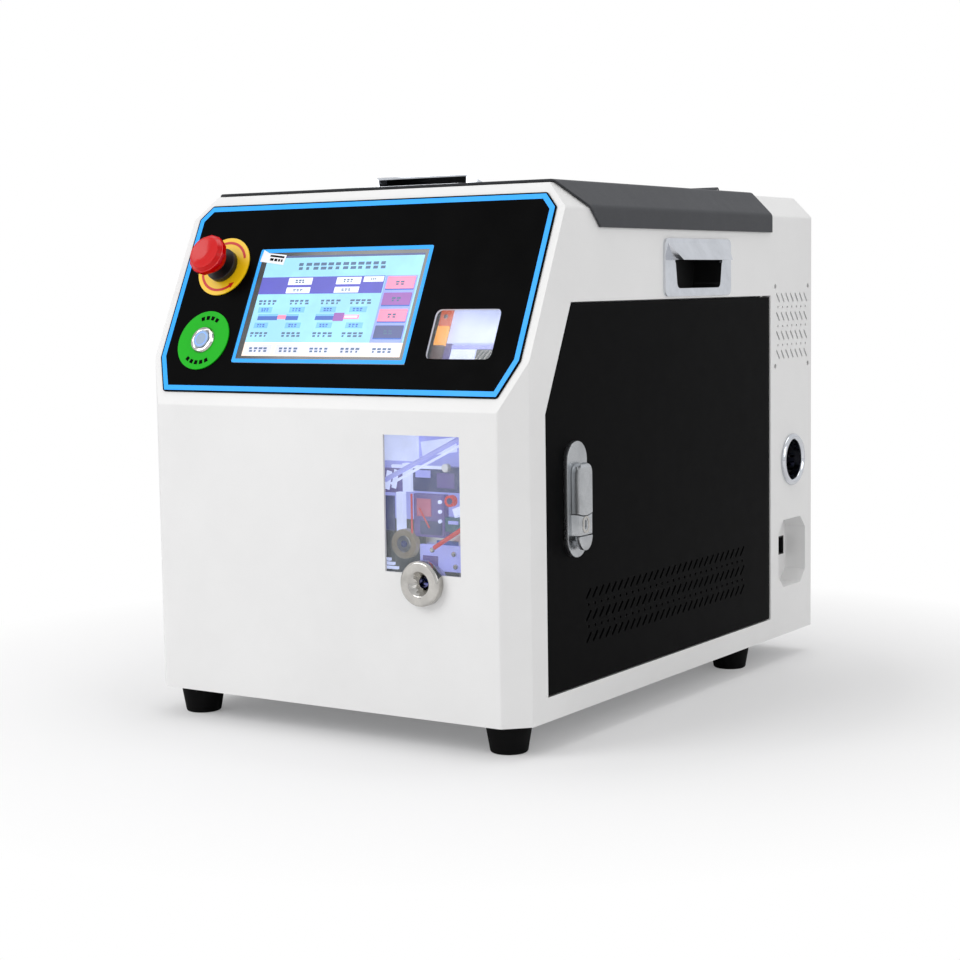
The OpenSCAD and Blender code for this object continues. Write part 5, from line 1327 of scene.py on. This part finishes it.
def front_view(studio: Studio) -> Niche:
    """The wire guide and the stripping unit's covers behind the tall front window.

    Args:
        studio: Holds the place of the camera's eye.

    Returns:
        The view, still to be built.
    """
    frame = Frame(Vector((95.3, -260.0, 186.0)) * MM, (1, 0, 0), (0, -1, 0))
    view = Niche("front_view", frame, 68.5, 103.5, studio.eye)
    # The Lit finishes below glow on parts that are no lamps: painted light.
    view.block(Paint.SHEET_LILAC, -0.15, -0.08, 1.25, 0.62, 52, 2)
    view.block(Paint.SHEET_WHITE, -0.1, -0.06, 0.46, 0.19, 40, 3)
    view.block(Paint.SHEET_WHITE, 0.50, 0.02, 0.95, 0.13, 42, 3, 8)
    view.rod(Paint.SHEET_LILAC, (1.1, -0.02), (0.02, 0.33), 1.9, 22)
    view.rod(Paint.SHEET_WHITE, (1.1, 0.03), (0.10, 0.355), 1.0, 20)
    view.rod(Paint.SHEET_WHITE, (0.12, 0.225), (0.80, 0.222), 1.3, 26)
    view.roller(Paint.WHITE_PLASTIC, 0.81, 0.224, 3.2, 24, 4)
    view.block(Paint.SHEET_WHITE, 0.25, 0.20, 0.36, 0.41, 30, 5)
    view.block(Paint.DEEP_BLUE, 0.38, 0.215, 1.12, 0.40, 33, 8)
    view.block(Paint.SHEET_LILAC, 0.42, 0.245, 0.62, 0.30, 32, 1)
    view.block(Paint.VIOLET, 0.70, 0.26, 0.93, 0.37, 32, 1)
    view.block(Paint.VIOLET, -0.02, 0.24, 0.22, 0.42, 32, 6)
    view.block(Paint.SHEET_WHITE, 0.02, 0.26, 0.09, 0.40, 31, 1, -12)
    view.block(Paint.SHEET_WHITE, 0.12, 0.25, 0.18, 0.39, 31, 1, -12)
    view.block(Paint.SHEET_WHITE, 0.16, 0.41, 0.25, 0.78, 26, 5)
    view.block(Paint.DEEP_BLUE, 0.0, 0.44, 0.13, 0.70, 29, 2)
    view.block(Paint.VIOLET, 0.39, 0.415, 0.80, 0.73, 24, 6)
    view.block(Paint.ROSE, 0.43, 0.45, 0.62, 0.58, 23, 1)
    view.block(Paint.DEEP_BLUE, 0.47, 0.61, 0.76, 0.71, 23, 1)
    for v in (0.47, 0.54, 0.61):
        view.roller(Paint.SHEET_WHITE, 0.73, v, 1.5, 22, 2)
    view.rod(Paint.RED_LIT, (0.37, 0.42), (0.37, 0.72), 0.8, 22)
    view.rod(Paint.RED_LIT, (0.47, 0.52), (0.60, 0.66), 0.6, 21)
    view.roller(Paint.RED_LIT, 0.86, 0.46, 4.4, 22, 5)
    view.roller(Paint.DEEP_BLUE, 0.86, 0.46, 2.4, 21, 1)
    view.block(Paint.SHEET_WHITE, 0.90, 0.50, 1.02, 0.57, 24, 3, 20, 1.2)
    view.block(Paint.TEAL, 0.80, 0.575, 1.05, 0.68, 24, 6)
    view.block(Paint.SHEET_LILAC, 0.84, 0.60, 0.97, 0.625, 23, 1)
    view.rod(Paint.RED_LIT, (0.66, 0.80), (1.02, 0.655), 1.7, 20)
    view.roller(Paint.STRAW, 0.25, 0.79, 11.4, 20, 6)
    view.roller(Paint.NICKEL, 0.25, 0.79, 6.4, 18.5, 1.5)
    view.roller(Paint.DEEP_BLUE, 0.25, 0.79, 2.6, 17.5, 1)
    view.block(Paint.SHEET_LILAC, 0.46, 0.78, 1.08, 0.97, 25, 4)
    view.block(Paint.VIOLET, 0.50, 0.86, 0.70, 0.97, 24, 1)
    for u, v in ((0.62, 0.82), (0.90, 0.84), (0.92, 0.93)):
        view.roller(Paint.NICKEL, u, v, 1.9, 23, 2)
    for i in range(3):
        view.block(Paint.SHEET_WHITE, -0.02, 0.90 + 0.03 * i, 0.06 + 0.05 * i, 0.92 + 0.03 * i, 22 - i, 3)
    return view


def panel_view(studio: Studio, panel: SlopedPanel) -> Niche:
    """Sensor holder and white covers behind the window in the sloped panel.

    Args:
        studio: Holds the place of the camera's eye.
        panel: The panel that the window lies in.

    Returns:
        The view, still to be built.
    """
    view = Niche("panel_view", panel.frame(117.5, 62.0), 59.0, 41.0, studio.eye)
    # The Lit finishes below glow on parts that are no lamps: painted light.
    view.block(Paint.GREEN_DARK, -0.12, -0.08, 0.09, 1.08, 15, 2)
    view.block(Paint.AMBER_LIT, 0.09, 0.02, 0.255, 0.34, 13, 3)
    view.roller(Paint.NICKEL, 0.17, 0.15, 1.8, 11.5, 1.5)
    view.block(Paint.GOLD_LIT, 0.085, 0.34, 0.25, 0.72, 12.5, 3)
    view.block(Paint.RUST_LIT, 0.08, 0.72, 0.245, 1.05, 13, 3)
    view.block(Paint.SHEET_WHITE, 0.28, -0.08, 1.12, 0.69, 17, 4)
    view.block(Paint.VIOLET, 0.26, 0.69, 0.37, 1.06, 16, 3)
    view.block(Paint.SHEET_LILAC, 0.37, 0.72, 1.1, 0.80, 16, 3)
    view.block(Paint.SHEET_WHITE, 0.38, 0.80, 0.76, 1.06, 15, 3)
    view.block(Paint.GREEN_DARK, 0.76, 0.80, 1.12, 1.08, 16, 3)
    for i in range(3):
        view.rod(Paint.NICKEL, (0.78 + 0.06 * i, 1.02), (0.86 + 0.06 * i, 0.82), 0.5, 14)
    return view


@dataclass(frozen=True)
class Softening:
    """One node whose edges are rounded in a copy."""

    node: str
    body: str
    width_mm: float
    angle: float = 32.0


SOFTENED: tuple[Softening, ...] = (
    Softening("stop_head", "stop_mushroom", 0.7, 24.0), Softening("stop_body", "machine", 0.4),
    Softening("power_body", "machine", 0.25), Softening("wire_funnel", "machine", 0.35),
    Softening("round_port", "machine", 0.5, 25.0), Softening("side_grips", "machine", 0.7),
    Softening("lid_grip", "lid_body", 0.7), Softening("lock_base", "door", 0.3),
    Softening("lock_lever", "lever", 0.7), Softening("lock_button", "lock_push", 0.25),
    Softening("rubber_feet", "machine", 0.5), Softening("lid", "lid_body", 0.35),
)


# Faces inside the grips' hollows get black paint: painted shade in the pockets.
SHADED_POCKETS: dict[str, Callable[[Vector], bool]] = {
    "side_grips": lambda centre: abs(centre.x) < 0.1795,
    "lid_grip": lambda centre: centre.z < 0.4245,
}


def soften_nodes(nodes: dict[str, bpy.types.Object]) -> None:
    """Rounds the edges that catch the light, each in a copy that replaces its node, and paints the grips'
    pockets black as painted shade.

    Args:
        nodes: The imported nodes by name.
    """
    for item in SOFTENED:
        paint = NODE_PAINT[item.node].get()
        copy = softened_copy(nodes[item.node], f"{item.node}_soft", item.width_mm, paint, item.angle)
        if item.node in SHADED_POCKETS:
            # The black on the pocket faces is painted shade.
            copy.data.materials.append(Paint.BLACK_PLASTIC.get())
            for polygon in copy.data.polygons:
                polygon.material_index = int(SHADED_POCKETS[item.node](polygon.center))
        ride(copy, item.body, item.node)


@dataclass
class PowerMark:
    """Lit ring and plain on-off sign on the power button's cap."""

    panel: SlopedPanel
    x: float = -132.0
    s: float = 55.5
    ring: float = 6.0
    ring_line: float = 0.9
    ring_low: float = 3.41
    sign: float = 3.1
    sign_line: float = 0.8
    sign_low: float = 3.81
    top: float = 3.95
    bar: float = 3.2

    def build(self) -> None:
        """Makes the ring, the open arc and its bar."""
        frame = self.panel.frame(self.x, self.s)
        low, high = self.sign_low * MM, self.top * MM
        shape = bmesh.new()
        outer, inner = circle(self.ring * MM, 48), circle((self.ring - self.ring_line) * MM, 48)
        add_ring(shape, frame, outer, inner, self.ring_low * MM, high)
        outer = circle(self.sign * MM, 28, 125, 290)
        inner = circle((self.sign - self.sign_line) * MM, 28, 125, 290)
        add_prism(shape, frame, outer + inner[::-1], low, high)
        bar = moved(outline_box(self.sign_line * MM, self.bar * MM), 0, 2.4 * MM)
        add_prism(shape, frame, bar, low, high)
        ride(finish_mesh("power_mark", shape, Paint.LED_BLUE.get()), "power_push")


@dataclass
class LockPlate:
    """Raised oval rim round the keyhole, with a black slot bottom that is painted shade inside the keyhole.
    """

    x: float = 191.0
    y: float = -182.0
    z: float = 168.3
    wide: float = 9.4
    high: float = 13.0
    rim: float = 1.7
    slot_w: float = 2.3
    slot_h: float = 6.6

    def build(self) -> None:
        """Makes the rim and the slot's bottom."""
        frame = Frame(Vector((self.x, self.y, self.z)) * MM, (0, 1, 0), (1, 0, 0))
        rim = bmesh.new()
        outer = outline_box(self.wide * MM, self.high * MM, 4.6 * MM, 8)
        inner = outline_box((self.wide - 2 * self.rim) * MM, (self.high - 2 * self.rim) * MM, 2.9 * MM, 8)
        add_ring(rim, frame, outer, inner, 0.01 * MM, 0.35 * MM)
        ride(finish_mesh("keyhole_rim", rim, Paint.NICKEL.get(), 30), "door")
        # The black slot bottom stands in for the shade deep in the keyhole: painted shade.
        slot = bmesh.new()
        shape = outline_box(self.slot_w * MM, self.slot_h * MM, 1.1 * MM)
        add_prism(slot, frame, shape, -2.95 * MM, -2.2 * MM)
        ride(finish_mesh("keyhole_bottom", slot, Paint.BLACK_PLASTIC.get()), "door")


@dataclass
class LooseTerminals:
    """Wire-end terminals that lie on the bowl's floor."""

    x: float = 14.6
    y: float = 86.0
    z: float = 311.5
    radius: float = 56.0
    seed: int = 7
    count: float = 22000.0
    collar_r: float = 1.3
    collar: float = 4.2
    sleeve_r: float = 0.75
    length: float = 9.2

    def build(self) -> None:
        """Scatters the terminals over a disc."""
        unit = bmesh.new()
        lying = Frame((-4.5 * MM, 0, 0), (0, 1, 0), (1, 0, 0))
        add_prism(unit, lying, circle(self.collar_r * MM, 10), 0, self.collar * MM, 0.2 * MM)
        add_prism(unit, lying, circle(self.sleeve_r * MM, 10), self.collar * MM, self.length * MM)
        repeat = Repeater("loose_terminals", Paint.BLUE_ANODISED.get())
        disc = repeat.node("GeometryNodeMeshCircle", {"fill_type": "NGON"}, {
            "Vertices": 32, "Radius": repeat.size("Radius", self.radius * MM)})
        seed = repeat.size("Seed", self.seed)
        spread = repeat.node("GeometryNodeDistributePointsOnFaces", {}, {
            "Mesh": disc.outputs[0], "Density": repeat.size("Density", self.count), "Seed": seed})
        turn = repeat.node("FunctionNodeRandomValue", {"data_type": "FLOAT_VECTOR"}, {
            0: (-0.12, -0.12, 0.0), 1: (0.12, 0.12, 6.283), "Seed": seed})
        frame = Frame(Vector((self.x, self.y, self.z)) * MM, (1, 0, 0), (0, 0, 1))
        terminal = finish_mesh("terminal", unit, Paint.BLUE_ANODISED.get())
        ride(repeat.finish(spread.outputs[0], terminal, frame, turn.outputs[0]), "bowl")


def main() -> None:
    """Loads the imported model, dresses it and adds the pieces."""
    logging.basicConfig(level=logging.INFO, format="%(name)s: %(message)s")
    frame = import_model()
    studio = Studio()
    studio.build()
    dress_nodes(frame["nodes"])
    soften_nodes(frame["nodes"])
    panel = SlopedPanel()
    controls = (Display(panel), PanelPrint(panel), PanelOutline(panel), PowerMark(panel), LockPlate())
    for piece in controls + (LooseTerminals(),):
        piece.build()
    front_view(studio).build()
    panel_view(studio, panel).build()


if __name__ == "__main__":
    main()
